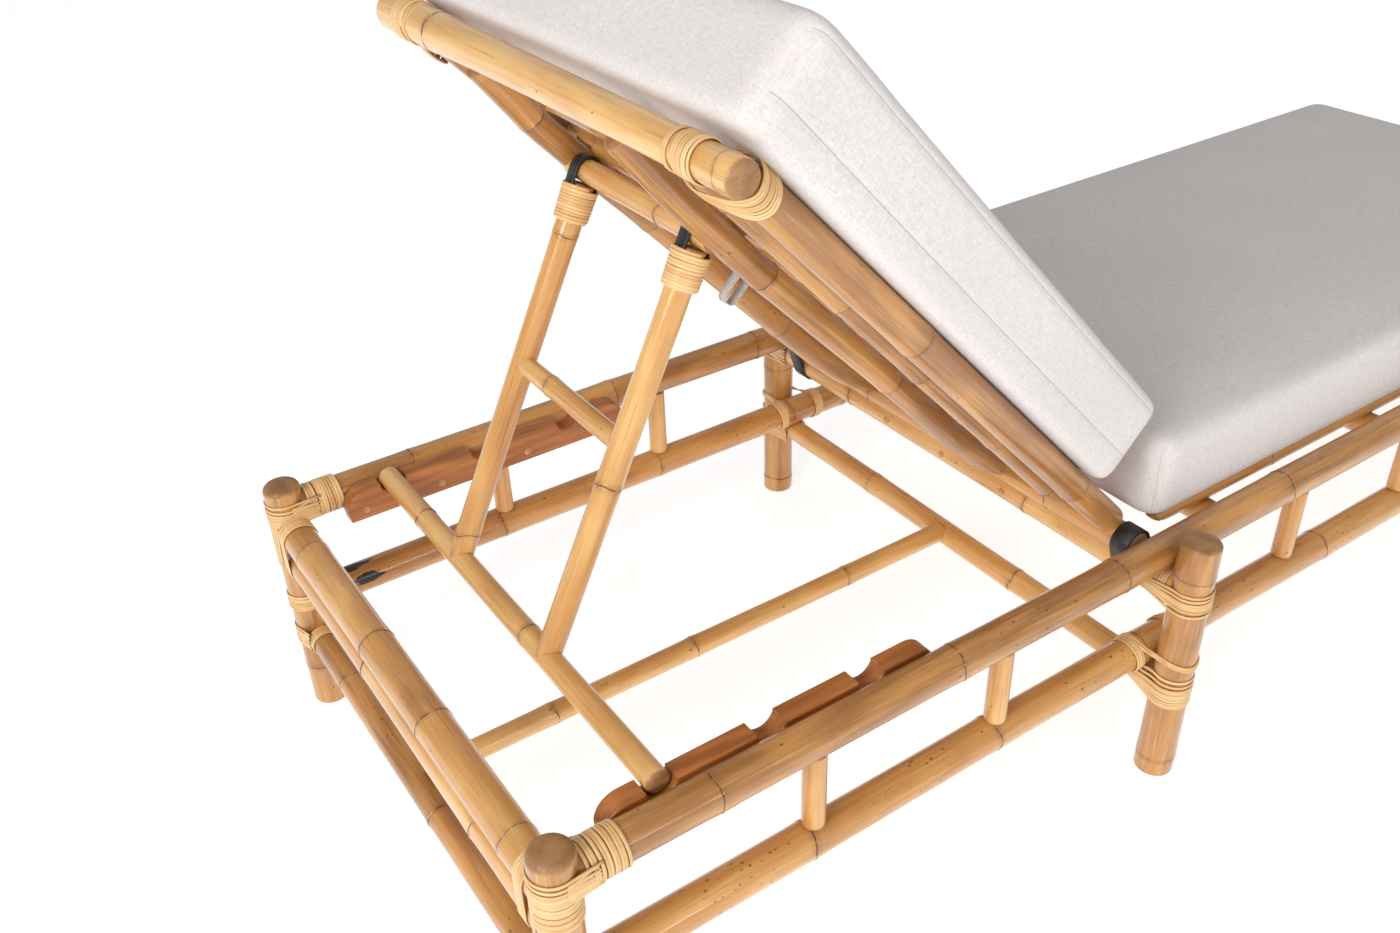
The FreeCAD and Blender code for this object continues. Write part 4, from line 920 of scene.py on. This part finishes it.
def bind_end_post(form, rng, end, heading, side, sign):
    """The lashings of one head or foot post: side rails, end rails and the strands between them."""
    post, post_radius = upright_of(f"{end}_post_{side}")
    inward = np.array([0, -sign, 0.0])
    lengthwise = np.array([heading, 0, 0.0])
    crossing, radius = crossing_of(post, f"upper_side_rail_{side}")
    collar(form, rng, crossing, lengthwise, radius + 0.9, post_radius + 1.5, 3, 3.4)
    collar(form, rng, crossing, lengthwise, radius + 1.3, post_radius + 13, 8, 3.3)
    turns = [12.5, 6.2] + [1.5 - 3.2 * k for k in range(5)]
    saddle(form, rng, crossing, UPWARD, lengthwise, post_radius, radius, turns, reach=40, gather=0.62)
    if side == "right":
        collar(form, rng, crossing, -UPWARD, post_radius + 0.3, 14.0, 9, 3.2)
    top, top_radius = crossing_of(post, f"{end}_top_rail")
    under, under_radius = crossing_of(post, f"{end}_under_rail")
    loop(form, rng, (top, under), (top_radius, under_radius), inward, post_radius + 1.8, 6, 3.2,
         gather=0.45, begin=-math.pi / 2)
    bearings = math.atan2(-sign * 0.55, -heading) + np.linspace(-0.55, 0.5, 7)
    upright_strands(form, rng, post, post_radius + 0.3, bearings, under[Z] - 8, top[Z] + 10)
    crossing, radius = crossing_of(post, f"lower_side_rail_{side}")
    collar(form, rng, crossing, lengthwise, radius + 0.9, post_radius + 1.5, 4, 3.4)
    turns = [14.0 - 3.4 * k for k in range(6)]
    saddle(form, rng, crossing, UPWARD, lengthwise, post_radius, radius, turns, reach=36)
    crossing, radius = crossing_of(post, f"{end}_lower_rail")
    loop(form, rng, (crossing,), (radius,), inward, post_radius + 1.0, 5, 3.3, begin=-math.pi / 2)
    turns = [13.0 - 3.4 * k for k in range(7)]
    saddle(form, rng, crossing, UPWARD, inward, post_radius, radius, turns, reach=30)


def bind_mid_leg(form, rng, side, sign):
    """The lashings of one middle leg: hinge bar, lower rail and lower stretcher."""
    leg, leg_radius = upright_of(f"mid_leg_{side}")
    inward = np.array([0, -sign, 0.0])
    for bar, turns, strands in (
            ("hinge_bar", [13.5, 8.2, 4.4, 0.8, -2.6, -6.0, -11.5], 4),
            ("mid_lower_stretcher", [22.0, 15.0, 9.8, 6.4, 3.0, -0.4, -3.8, -7.2, -10.6, -14.0], 3)):
        crossing, radius = crossing_of(leg, bar)
        saddle(form, rng, crossing, UPWARD, inward, leg_radius, radius, turns, reach=46, gather=0.55)
        loop(form, rng, (crossing,), (radius,), inward, leg_radius + 1.5, strands, 3.4, begin=-math.pi / 2,
             slant=2.0)
    rail = middle_of(f"lower_side_rail_{side}")
    rail_radius = half_height(f"lower_side_rail_{side}")
    reach = rail_radius + 0.6
    wide = leg_radius + 0.8
    for way in (1, -1):
        loop(form, rng, (np.array([leg[X], rail[Y], rail[Z]]),), (rail_radius,), np.array([way, 0, 0.0]),
             25, 4, 3.0, begin=math.pi / 2, slant=2.5)
    for number in range(2):
        rise = 11 - 3.4 * number
        spread = 24 + 3.4 * number
        over_rail = ((1, reach, 6.0), (1, 0.6 * reach, 0.8 * reach + 1), (1, 0.0, reach),
                     (0.92, -0.75 * reach, 0.66 * reach + 2))
        points = [(-way * spread, -sign * (leg[Y] * sign - rail[Y] * sign + lean), z)
                  for way, lean, z in over_rail]
        arc = [(-wide * math.cos(a), sign * wide * math.sin(a), rise + 3 * math.cos(2 * a))
               for a in np.linspace(-0.2, math.pi + 0.2, 9)]
        mirrored = [(-x, y, z) for x, y, z in points[::-1]]
        path = smooth_path(np.array(points + arc + mirrored), 90)
        out = path - np.array([0, 0.35 * path[:, 1].mean(), -4])
        add_strand(form, rng, path + np.array([leg[X], leg[Y], rail[Z]]), out)


def build_frame_bindings():
    for number, (end, heading) in enumerate(ENDS.items()):
        for side, sign in SIDES.items():
            form = Form()
            bind_end_post(form, np.random.default_rng(100 + 10 * number + sign), end, heading, side, sign)
            form.build(f"cane_{end}_post_{side}", CANE, "frame", f"{end}_bindings_{side}")
    for side, sign in SIDES.items():
        form = Form()
        bind_mid_leg(form, np.random.default_rng(130 + sign), side, sign)
        form.build(f"cane_mid_leg_{side}", CANE, "frame", f"mid_bindings_{side}")


def crescent(form, rng, sign, strands=8):
    """Strands off the top bar that hang round a stile and its thin pole and go back over the stile."""
    foot = on_back(0, sign * STILE_Y, STILE_FRONT)
    for lay in np.linspace(0, 1, strands):
        jog, lift = rng.uniform(-0.5, 0.5), rng.uniform(0, 0.7)
        stops = [(707, 222, -13), (696 - 9 * lay, 226, -15.8), (687 - 20 * lay, 236, -12.6),
                 (681 - 24 * lay, 252, -7.5), (678 - 22 * lay, 262, 1), (680 - 21 * lay, 264, 11),
                 (683 - 21 * lay, 258, 20.5), (688 - 20 * lay, 247, 25.2), (692 - 10 * lay, 236, 21)]
        path = smooth_path([on_back(up + jog, sign * across, front) for up, across, front in stops], 60)
        out = path - foot
        out = unit_rows(out - np.outer(out @ UP_BACK, UP_BACK))
        add_strand(form, rng, path + lift * out, out, width=2.9)


def build_back_bindings():
    form = Form()
    rng = np.random.default_rng(140)
    bar_radius = half_height("back_top_bar")
    for side, sign in SIDES.items():
        thick = bar_radius * (0.88 if side == "right" else 1.06) + 0.4
        top = on_back(BACK_LENGTH + 0.8, 0, 0)
        out = np.array([0, sign, 0])
        collar(form, rng, top, out, thick, 213, 2, 3.4)
        collar(form, rng, top, out, thick + 0.3, 224, 7, 3.4)
        crescent(form, rng, sign)
    form.build("cane_backrest", CANE, "backrest", "back_bindings")


def build_prop_bindings():
    form = Form()
    rng = np.random.default_rng(150)
    for sign in SIDES.values():
        top = on_prop(PROP_LENGTH, sign * PROP_LEG_Y)
        collar(form, rng, top, -UP_PROP, PROP_LEG_D / 2 + 4.2, 16, 10.8, 3.1, narrowing=1.2, wander=0.12)
        collar(form, rng, top, -UP_PROP, PROP_LEG_D / 2 + 1.4, 17, 10.4, 3.1, narrowing=0.6, wander=0.1)
    form.build("cane_prop", CANE, "prop", "prop_bindings")


# Racks, straps and small hardware.
RACK_ROUNDING, RACK_BEVEL, BEVEL_STEP = 24, 2.2, 0.64
RACK_FOOT_INSET, CORNER_STEPS = 2, 10
NOTCHES, NOTCH_PITCH, NOTCH_ROOM, NOTCH_PLAY, NOTCH_STEPS = 3, 112, 3.5, 0.35, 19


def rack_outline(low, high):
    """The side view of a rack: rounded top corners and round notches for the crossbar."""
    top = high[Z]
    notch = half_height("prop_crossbar") + NOTCH_ROOM
    notch_floor = CROSSBAR[Z] - half_height("prop_crossbar") - NOTCH_PLAY
    centre_z = notch_floor + notch
    mouth = math.asin((top - centre_z) / notch) if abs(top - centre_z) < notch else 0
    quarter = np.linspace(0, math.pi / 2, CORNER_STEPS)
    outline = [(low[X] + RACK_FOOT_INSET, low[Z])]
    outline += [(low[X] + RACK_ROUNDING * (1 - math.cos(step)), top - RACK_ROUNDING * (1 - math.sin(step)))
                for step in quarter]
    for number in range(NOTCHES):
        x = CROSSBAR[X] + NOTCH_PITCH * number
        for angle in np.linspace(math.pi - mouth, ROUND + mouth, NOTCH_STEPS):
            outline.append((x + notch * math.cos(angle), centre_z + notch * math.sin(angle)))
    outline += [(high[X] - RACK_ROUNDING * (1 - math.cos(step)), top - RACK_ROUNDING * (1 - math.sin(step)))
                for step in np.linspace(math.pi / 2, 0, CORNER_STEPS)]
    outline.append((high[X] - RACK_FOOT_INSET, low[Z]))
    return np.array(outline)


def build_racks():
    for side, sign in SIDES.items():
        low, high = millimetres(f"rack_{side}")
        outline = rack_outline(low, high)
        count = len(outline)
        tangent = np.roll(outline, -1, axis=0) - np.roll(outline, 1, axis=0)
        inward = unit_rows(np.stack([tangent[:, 1], -tangent[:, 0]], axis=1))
        layers = []
        for y, inset in ((low[Y], RACK_BEVEL), (low[Y] + BEVEL_STEP, BEVEL_STEP),
                         (low[Y] + RACK_BEVEL, 0), (high[Y] - RACK_BEVEL, 0),
                         (high[Y] - BEVEL_STEP, BEVEL_STEP), (high[Y], RACK_BEVEL)):
            ring = outline + inward * inset
            layers.append(np.stack([ring[:, 0], np.full(count, y), ring[:, 1]], axis=1))
        points = np.concatenate(layers)
        grain = points[:, [1, 2, 0]] * MM + np.array([0.3 * sign, 0.7, 1.1 * sign])
        form = Form()
        form.add(points, tube_faces(len(layers), count), grain_place=grain)
        form.build(f"rack_{side}_notched", HARDWOOD, "frame", f"rack_{side}", smooth=False)


PLUG_SIDES = 20
PLUG_RINGS = ((4.5, -3.0), (4.5, 0.15), (4.1, 0.55), (3.0, 0.85), (1.5, 1.0))
PLUG_TOP = 1.05
BAR_PLUGS = (-100, 0, 100)
RACK_PLUG_INSET, RACK_PLUG_DROP = 20.5, 26


def add_plug(form, rng, centre, outward):
    """A sanded plug that stands a little proud of the wood round it."""
    outward = unit(outward)
    first, second = frame_of(outward)
    turn = np.linspace(0, ROUND, PLUG_SIDES, endpoint=False)
    around = np.cos(turn)[:, None] * first + np.sin(turn)[:, None] * second
    points = [np.asarray(centre) + outward * rise + radius * around for radius, rise in PLUG_RINGS]
    points = np.concatenate(points + [(np.asarray(centre) + outward * PLUG_TOP)[None]])
    faces = grid_faces(len(PLUG_RINGS), PLUG_SIDES)
    hub = len(PLUG_RINGS) * PLUG_SIDES
    rim = hub - PLUG_SIDES
    faces += [[rim + k, rim + (k + 1) % PLUG_SIDES, hub] for k in range(PLUG_SIDES)]
    form.add(points, faces, grain_place=points * MM + rng.uniform(0, 3, 3))


def build_plugs():
    form = Form()
    rng = np.random.default_rng(160)
    bar_face = millimetres("hinge_bar")[0][X]
    for y in BAR_PLUGS:
        add_plug(form, rng, (bar_face, y, middle_of("hinge_bar")[Z]), (-1, 0, 0))
    for side, sign in SIDES.items():
        low, high = millimetres(f"rack_{side}")
        face = low[Y] if sign == LEFT else high[Y]
        between = [CROSSBAR[X] + share * NOTCH_PITCH for share in (0.5, 1.5)]
        for x in [low[X] + RACK_PLUG_INSET] + between:
            add_plug(form, rng, (x, face, high[Z] - RACK_PLUG_DROP), (0, -sign, 0))
    form.build("plugs_sanded", PLUG_WOOD, "frame", "screw_plugs")


HINGE_STRAP_THICKNESS, HINGE_STRAP_EDGE = 2.2, 0.5
PROP_STRAP_WIDTH, PROP_STRAP_TAIL, PROP_STRAP_EDGE = 14.0, 44, 0.4


def strap_section(width, thickness, edge):
    """A strap's section, with its outer edges broken: across, and out from the bar."""
    return [(-width / 2, 0.0), (-width / 2, thickness - edge), (-width / 2 + edge, thickness),
            (width / 2 - edge, thickness), (width / 2, thickness - edge), (width / 2, 0.0)]


def ribbon_loop(form, centres, radii, thickness, width, y):
    """A closed strap round two bars that lie along Y."""
    first, second = np.asarray(centres[0], float), np.asarray(centres[1], float)
    span = second - first
    along = unit(span)
    aside = np.array([-along[Z], 0, along[X]])
    lean = math.asin((radii[0] - radii[1]) / np.linalg.norm(span))
    up = math.pi / 2 - lean
    path, normal = [], []
    for centre, radius, angles in ((first, radii[0], np.linspace(up, ROUND - up, 26)),
                                   (second, radii[1], np.linspace(-up, up, 26))):
        for angle in angles:
            out = along * math.cos(angle) + aside * math.sin(angle)
            path.append(centre + out * radius)
            normal.append(out)
    path, normal = np.array(path), np.array(normal)
    section = strap_section(width, thickness, HINGE_STRAP_EDGE)
    points = np.array([[p + n * lift + ACROSS * (y + across) for across, lift in section]
                       for p, n in zip(path, normal)])
    rows, columns = points.shape[:2]
    faces = []
    for row in range(rows):
        after_row = (row + 1) % rows
        for column in range(columns):
            after = (column + 1) % columns
            faces.append([row * columns + column, row * columns + after, after_row * columns + after,
                          after_row * columns + column])
    form.add(points, faces)


def build_straps():
    bars = (HINGE, middle_of("hinge_bar"))
    radii = (half_height("back_bottom_bar") + 0.5, half_height("hinge_bar") + 0.4)
    for side in SIDES:
        low, high = millimetres(f"hinge_strap_{side}")
        form = Form()
        ribbon_loop(form, bars, radii, HINGE_STRAP_THICKNESS, (high - low)[Y], (low + high)[Y] / 2)
        form.build(f"strap_hinge_{side}", LEATHER, "frame", f"hinge_strap_{side}")
    form = Form()
    inner, outer = PROP_LEG_D / 2 + 0.15, PROP_LEG_D / 2 + 2.15
    section = strap_section(PROP_STRAP_WIDTH, outer - inner, PROP_STRAP_EDGE)
    crest = np.cross(ACROSS, UP_PROP)
    drops = np.linspace(0, PROP_STRAP_TAIL, 8)[1:]
    for sign in SIDES.values():
        centre = on_prop(PROP_LENGTH, sign * PROP_LEG_Y)
        path, normal = [], []
        for drop in drops[::-1]:
            path.append(centre - UP_PROP * drop - crest * inner)
            normal.append(-crest)
        for angle in np.linspace(0, math.pi, 22):
            out = -crest * math.cos(angle) + UP_PROP * math.sin(angle)
            path.append(centre + out * inner)
            normal.append(out)
        for drop in drops:
            path.append(centre - UP_PROP * drop + crest * inner)
            normal.append(crest)
        points = np.array([[p + n * lift + ACROSS * across for across, lift in section]
                           for p, n in zip(path, normal)])
        form.add(points, tube_faces(*points.shape[:2]))
    form.build("strap_prop", LEATHER, "prop", "prop_straps")


# Cushions: sewn panels, blown up by cloth simulation.
CLOTH_FRAMES, CLOTH_REACH = 20, 3.5
COVER_CLOTH = {"quality": 5, "mass": 0.25, "tension_stiffness": 12, "compression_stiffness": 12,
               "shear_stiffness": 6, "bending_stiffness": 0.6, "use_pressure": True,
               "uniform_pressure_force": 4.0}
CUSHION_CELL, CUSHION_FILL = 10.0, 0.85
PLAN_ROUNDING, SIDE_DRAW, CROWN_FLATNESS = 24.0, 2.0, 2.2
SEAT_THICKNESS = 92.0
BACK_CUSHION, BACK_CUSHION_UP, BACK_CUSHION_FRONT = (640.0, 568.0, 92.4), 98, 24.6
BACK_SEAMS = (30.8, 82.13)
NO_SEAM_NEAR = 1.0
# Shifts of the side and end panels on the cloth.
SIDE_PANELS, END_PANELS = (-300, 900), (1200, 1500)


def cushion_panels(length, width, thickness, cell):
    """A sewn box of six panels on one grid: points as shares of the size, quads, and cloth coordinates."""
    nx, ny, nz = (max(3, round(v / cell)) for v in (length, width, thickness))
    index = {}
    points = []

    def corner(i, j, k):
        key = (i, j, k)
        if key not in index:
            index[key] = len(points)
            points.append((i / nx, j / ny, k / nz))
        return index[key]

    faces, cloth = [], []

    def quad(corners, u0, u1, v0, v1):
        faces.append([corner(*c) for c in corners])
        cloth.extend([(u0, v0), (u1, v0), (u1, v1), (u0, v1)])

    for i in range(nx):
        for j in range(ny):
            u0, u1, v0, v1 = i / nx * length, (i + 1) / nx * length, j / ny * width, (j + 1) / ny * width
            quad([(i, j, nz), (i + 1, j, nz), (i + 1, j + 1, nz), (i, j + 1, nz)], u0, u1, v0, v1)
            quad([(i, j + 1, 0), (i + 1, j + 1, 0), (i + 1, j, 0), (i, j, 0)], u0, u1, -v1, -v0)
    for k in range(nz):
        w0, w1 = k / nz * thickness, (k + 1) / nz * thickness
        for i in range(nx):
            u0, u1 = i / nx * length, (i + 1) / nx * length
            quad([(i, 0, k), (i + 1, 0, k), (i + 1, 0, k + 1), (i, 0, k + 1)],
                 u0, u1, w0 + SIDE_PANELS[0], w1 + SIDE_PANELS[0])
            quad([(i, ny, k + 1), (i + 1, ny, k + 1), (i + 1, ny, k), (i, ny, k)],
                 u0, u1, w1 + SIDE_PANELS[1], w0 + SIDE_PANELS[1])
        for j in range(ny):
            v0, v1 = j / ny * width, (j + 1) / ny * width
            quad([(0, j, k + 1), (0, j + 1, k + 1), (0, j + 1, k), (0, j, k)],
                 v0, v1, w1 + END_PANELS[0], w0 + END_PANELS[0])
            quad([(nx, j, k), (nx, j + 1, k), (nx, j + 1, k + 1), (nx, j, k + 1)],
                 v0, v1, w0 + END_PANELS[1], w1 + END_PANELS[1])
    return np.array(points), faces, np.array(cloth)


def shape_cushion(share, size, crown, soft):
    """Rounds the panels' box: crowned, drawn in between its corners, soft at its edges and round in plan.

    soft gives the edge rounding at the bottom and at the top.
    """
    half = np.array(size) / 2
    side = 2 * share - 1
    middle_x, middle_y = 1 - side[:, 0] ** 2, 1 - side[:, 1] ** 2
    local = side * half
    local[:, 0] *= 1 - SIDE_DRAW / half[0] * middle_y
    local[:, 1] *= 1 - SIDE_DRAW / half[1] * middle_x
    flat = np.minimum(1, middle_x * CROWN_FLATNESS) * np.minimum(1, middle_y * CROWN_FLATNESS)
    swell = flat * 0.5 + 0.5 * middle_x * middle_y
    local[:, 2] += crown * swell * share[:, 2]
    rounding = np.where(side[:, 2] > 0, soft[1], soft[0])[:, None]

    def rounded(points, inner):
        core = np.clip(points, -inner, inner)
        over = points - core
        reach = np.linalg.norm(over, axis=1)
        largest = np.max(np.abs(over), axis=1)
        return core + over * (largest / np.maximum(reach, 1e-6))[:, None]

    local = rounded(local, half - rounding)
    local[:, :2] = rounded(local[:, :2], half[:2] - PLAN_ROUNDING)
    return local + np.array([half[0], 0, half[2]])


def swell_by_cloth(piece, points):
    """Blows the sewn cover up with Blender's cloth and keeps each point within reach of where it began."""
    mesh = piece.data
    cloth = piece.modifiers.new("stuffing", "CLOTH")
    for key, setting in COVER_CLOTH.items():
        setattr(cloth.settings, key, setting)
    cloth.settings.effector_weights.gravity = 0
    cloth.point_cache.frame_start = 1
    cloth.point_cache.frame_end = CLOTH_FRAMES
    scene = bpy.context.scene
    for number in range(1, CLOTH_FRAMES + 1):
        scene.frame_set(number)
    depsgraph = bpy.context.evaluated_depsgraph_get()
    blown = piece.evaluated_get(depsgraph).to_mesh()
    found = np.empty(len(mesh.vertices) * 3, np.float32)
    blown.vertices.foreach_get("co", found)
    piece.evaluated_get(depsgraph).to_mesh_clear()
    piece.modifiers.remove(cloth)
    scene.frame_set(1)
    move = found.reshape(-1, 3) / MM - points
    far = np.linalg.norm(move, axis=1)
    move *= np.minimum(1, CLOTH_REACH / np.maximum(far, 1e-6))[:, None]
    return points + move


def seam_distances(share, size, levels, corners):
    """Metres from each point of the cover to a seam: along the sides at some levels, or up the corners."""
    seam = np.full(len(share), NO_SEAM_NEAR)
    spot = share * np.array(size)
    on_side = np.isclose(share[:, 1], 0) | np.isclose(share[:, 1], 1)
    on_end = np.isclose(share[:, 0], 0) | np.isclose(share[:, 0], 1)
    for level in levels:
        seam = np.where(on_side, np.minimum(seam, np.abs(spot[:, 2] - level) * MM), seam)
    if corners:
        from_corner = np.minimum(spot, np.array(size) - spot)
        around = np.where(on_end, from_corner[:, 1], from_corner[:, 0])
        seam = np.where(on_side | on_end, np.minimum(seam, around * MM), seam)
    return seam


def build_cushion(name, node, body, origin, directions, size, crown, soft, seam_levels, corner_seams):
    """A stuffed cushion in its own place and direction."""
    share, faces, cloth = cushion_panels(*size, CUSHION_CELL)
    local = shape_cushion(share, size, crown, soft)
    seam = seam_distances(share, size, seam_levels, corner_seams)
    ex, ey, ez = (np.asarray(d, float) for d in directions)
    mesh = bpy.data.meshes.new(name)

    def placed(points):
        return np.asarray(origin, float) + points[:, :1] * ex + points[:, 1:2] * ey + points[:, 2:] * ez

    mesh.from_pydata((placed(local) * MM).tolist(), [], faces)
    mesh.polygons.foreach_set("use_smooth", [True] * len(mesh.polygons))
    layer = mesh.uv_layers.new(name="cloth")
    layer.data.foreach_set("uv", (cloth * MM).astype(np.float32).ravel())
    attribute = mesh.attributes.new("seam_distance", "FLOAT", "POINT")
    attribute.data.foreach_set("value", seam.astype(np.float32))
    mesh.materials.append(LINEN)
    piece = place_object(name, mesh)
    settled = placed(local)
    settled = swell_by_cloth(piece, settled)
    back = (settled - np.asarray(origin, float)) @ np.stack([ex, ey, ez], axis=1)
    back[:, 2] = np.maximum(back[:, 2], 0.0)
    settled = placed(back)
    mesh.vertices.foreach_set("co", (settled * MM).astype(np.float32).ravel())
    mesh.update()
    smooth = piece.modifiers.new("smooth_cover", "SUBSURF")
    smooth.levels = 1
    smooth.render_levels = 1
    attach(piece, body)
    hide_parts(node)


def build_cushions():
    low, high = millimetres("seat_cushion")
    build_cushion("cushion_seat", "seat_cushion", "frame", (low[X], 0, low[Z] + 0.2), np.eye(3),
                  (high[X] - low[X], high[Y] - low[Y], SEAT_THICKNESS), crown=9.0, soft=(6.0, 18.0),
                  seam_levels=(), corner_seams=True)
    build_cushion("cushion_back", "back_cushion", "backrest",
                  on_back(BACK_CUSHION_UP, 0, BACK_CUSHION_FRONT), (UP_BACK, -ACROSS, OFF_BACK),
                  BACK_CUSHION, crown=8.0, soft=(11.0, 15.0), seam_levels=BACK_SEAMS, corner_seams=False)


def build_tie():
    """The fabric loop that hangs from the back cushion round a thin bar."""
    form = Form()
    middle = middle_of("cushion_tie")[Y]
    up = CROSS_SLAT_START + (CROSS_SLATS - 4) * CROSS_SLAT_PITCH
    inner, thickness, width, drop = CROSS_SLAT_D / 2 + 0.4, 1.2, 11.5, 58.5
    front = CROSS_SLAT_FRONT + CROSS_SLAT_D / 2 - 0.4
    path, normal = [], []
    shares = np.linspace(0, 1, 9)[:-1]
    for share in shares:
        path.append((-inner, front - drop * share))
        normal.append((-1, 0))
    for angle in np.linspace(math.pi, ROUND, 16):
        path.append((inner * math.cos(angle), front - drop + inner * math.sin(angle)))
        normal.append((math.cos(angle), math.sin(angle)))
    for share in shares[::-1]:
        path.append((inner, front - drop * share))
        normal.append((1, 0))
    section = [(-width / 2, 0.0), (-width / 2, thickness), (width / 2, thickness), (width / 2, 0.0)]
    points = np.array([[on_back(up + p[0] + n[0] * lift, middle + across, p[1] + n[1] * lift)
                        for across, lift in section] for p, n in zip(path, normal)])
    rows, columns = points.shape[:2]
    form.add(points, tube_faces(rows, columns), seam_distance=np.full(rows * columns, NO_SEAM_NEAR))
    piece = form.build("fabric_tie", TAPE, "backrest", "cushion_tie")
    layer = piece.data.uv_layers.new(name="cloth")
    cloth = []
    for corner in piece.data.loops:
        place = piece.data.vertices[corner.vertex_index].co
        cloth += [place.y, place.x + place.z]
    layer.data.foreach_set("uv", cloth)


def dress_small_nodes():
    """A finish for the screw heads, whose own shape is right."""
    piece = frame["nodes"]["strap_screws"]
    piece.data.materials.clear()
    piece.data.materials.append(STEEL)


# Floor, light and camera.
FLOOR_HALF, FLOOR_Z = 30.0, -0.0005
SENSOR_WIDTH, IMAGE_WIDTH, FOCAL = 36, 1400, 1287.7
CAMERA_PLACE = (-1.1609, -0.935, 1.084)
YAW, PITCH, ROLL = 0.996, 0.578, -0.036


def build_floor():
    mesh = bpy.data.meshes.new("floor")
    corners = [(-1, -1), (1, -1), (1, 1), (-1, 1)]
    mesh.from_pydata([(x * FLOOR_HALF, y * FLOOR_HALF, FLOOR_Z) for x, y in corners], [], [(0, 1, 2, 3)])
    material, _, shader = new_material("pale_floor", 0.8, specular=0.1)
    shader["Base Color"].default_value = (0.78, 0.82, 0.86, 1)
    shader["Emission Color"].default_value = (1, 1, 1, 1)
    shader["Emission Strength"].default_value = 0.6
    mesh.materials.append(material)
    place_object("floor", mesh)


def axes_matrix(first, second, third, place):
    """The matrix of an object with these axes at a place."""
    columns = (first, second, third, place)
    return Matrix([[c[row] for c in columns] for row in range(3)] + [[0, 0, 0, 1]])


def add_light(name, place, target, size, power):
    light = bpy.data.lights.new(name, "AREA")
    light.shape = "RECTANGLE"
    light.size, light.size_y = size
    light.energy = power
    away = unit(np.array(place) - np.array(target))
    first, second = frame_of(away)
    place_object(name, light).matrix_world = axes_matrix(first, second, away, place)


def build_light():
    scene = bpy.context.scene
    scene.view_settings.view_transform = "Standard"
    world = bpy.data.worlds.new("studio")
    world.use_nodes = True
    background = world.node_tree.nodes["Background"]
    background.inputs[0].default_value = (1, 1, 1, 1)
    background.inputs[1].default_value = 0.46
    scene.world = world
    add_light("key_softbox", (-2.9, -1.0, 1.85), (-0.3, 0, 0.45), (1.2, 1.2), 43)
    add_light("side_softbox", (-0.9, -3.0, 1.3), (-0.3, 0, 0.35), (2.6, 0.25), 24)


def build_camera():
    forward = np.array([math.cos(YAW) * math.cos(PITCH), math.sin(YAW) * math.cos(PITCH), -math.sin(PITCH)])
    right = np.array([math.sin(YAW), -math.cos(YAW), 0])
    up = np.cross(right, forward)
    across = right * math.cos(ROLL) + up * math.sin(ROLL)
    over = -right * math.sin(ROLL) + up * math.cos(ROLL)
    camera = bpy.data.cameras.new("photo_view")
    camera.sensor_fit = "HORIZONTAL"
    camera.sensor_width = SENSOR_WIDTH
    camera.lens = SENSOR_WIDTH * FOCAL / IMAGE_WIDTH
    camera.clip_start = 0.01
    holder = place_object("photo_view", camera)
    holder.matrix_world = axes_matrix(across, over, -forward, CAMERA_PLACE)
    bpy.context.scene.camera = holder


build_frame_poles()
build_spindles_and_deck()
build_back_poles()
build_prop_poles()
build_frame_bindings()
build_back_bindings()
build_prop_bindings()
build_racks()
build_plugs()
build_straps()
build_cushions()
build_tie()
dress_small_nodes()
build_floor()
build_light()
build_camera()
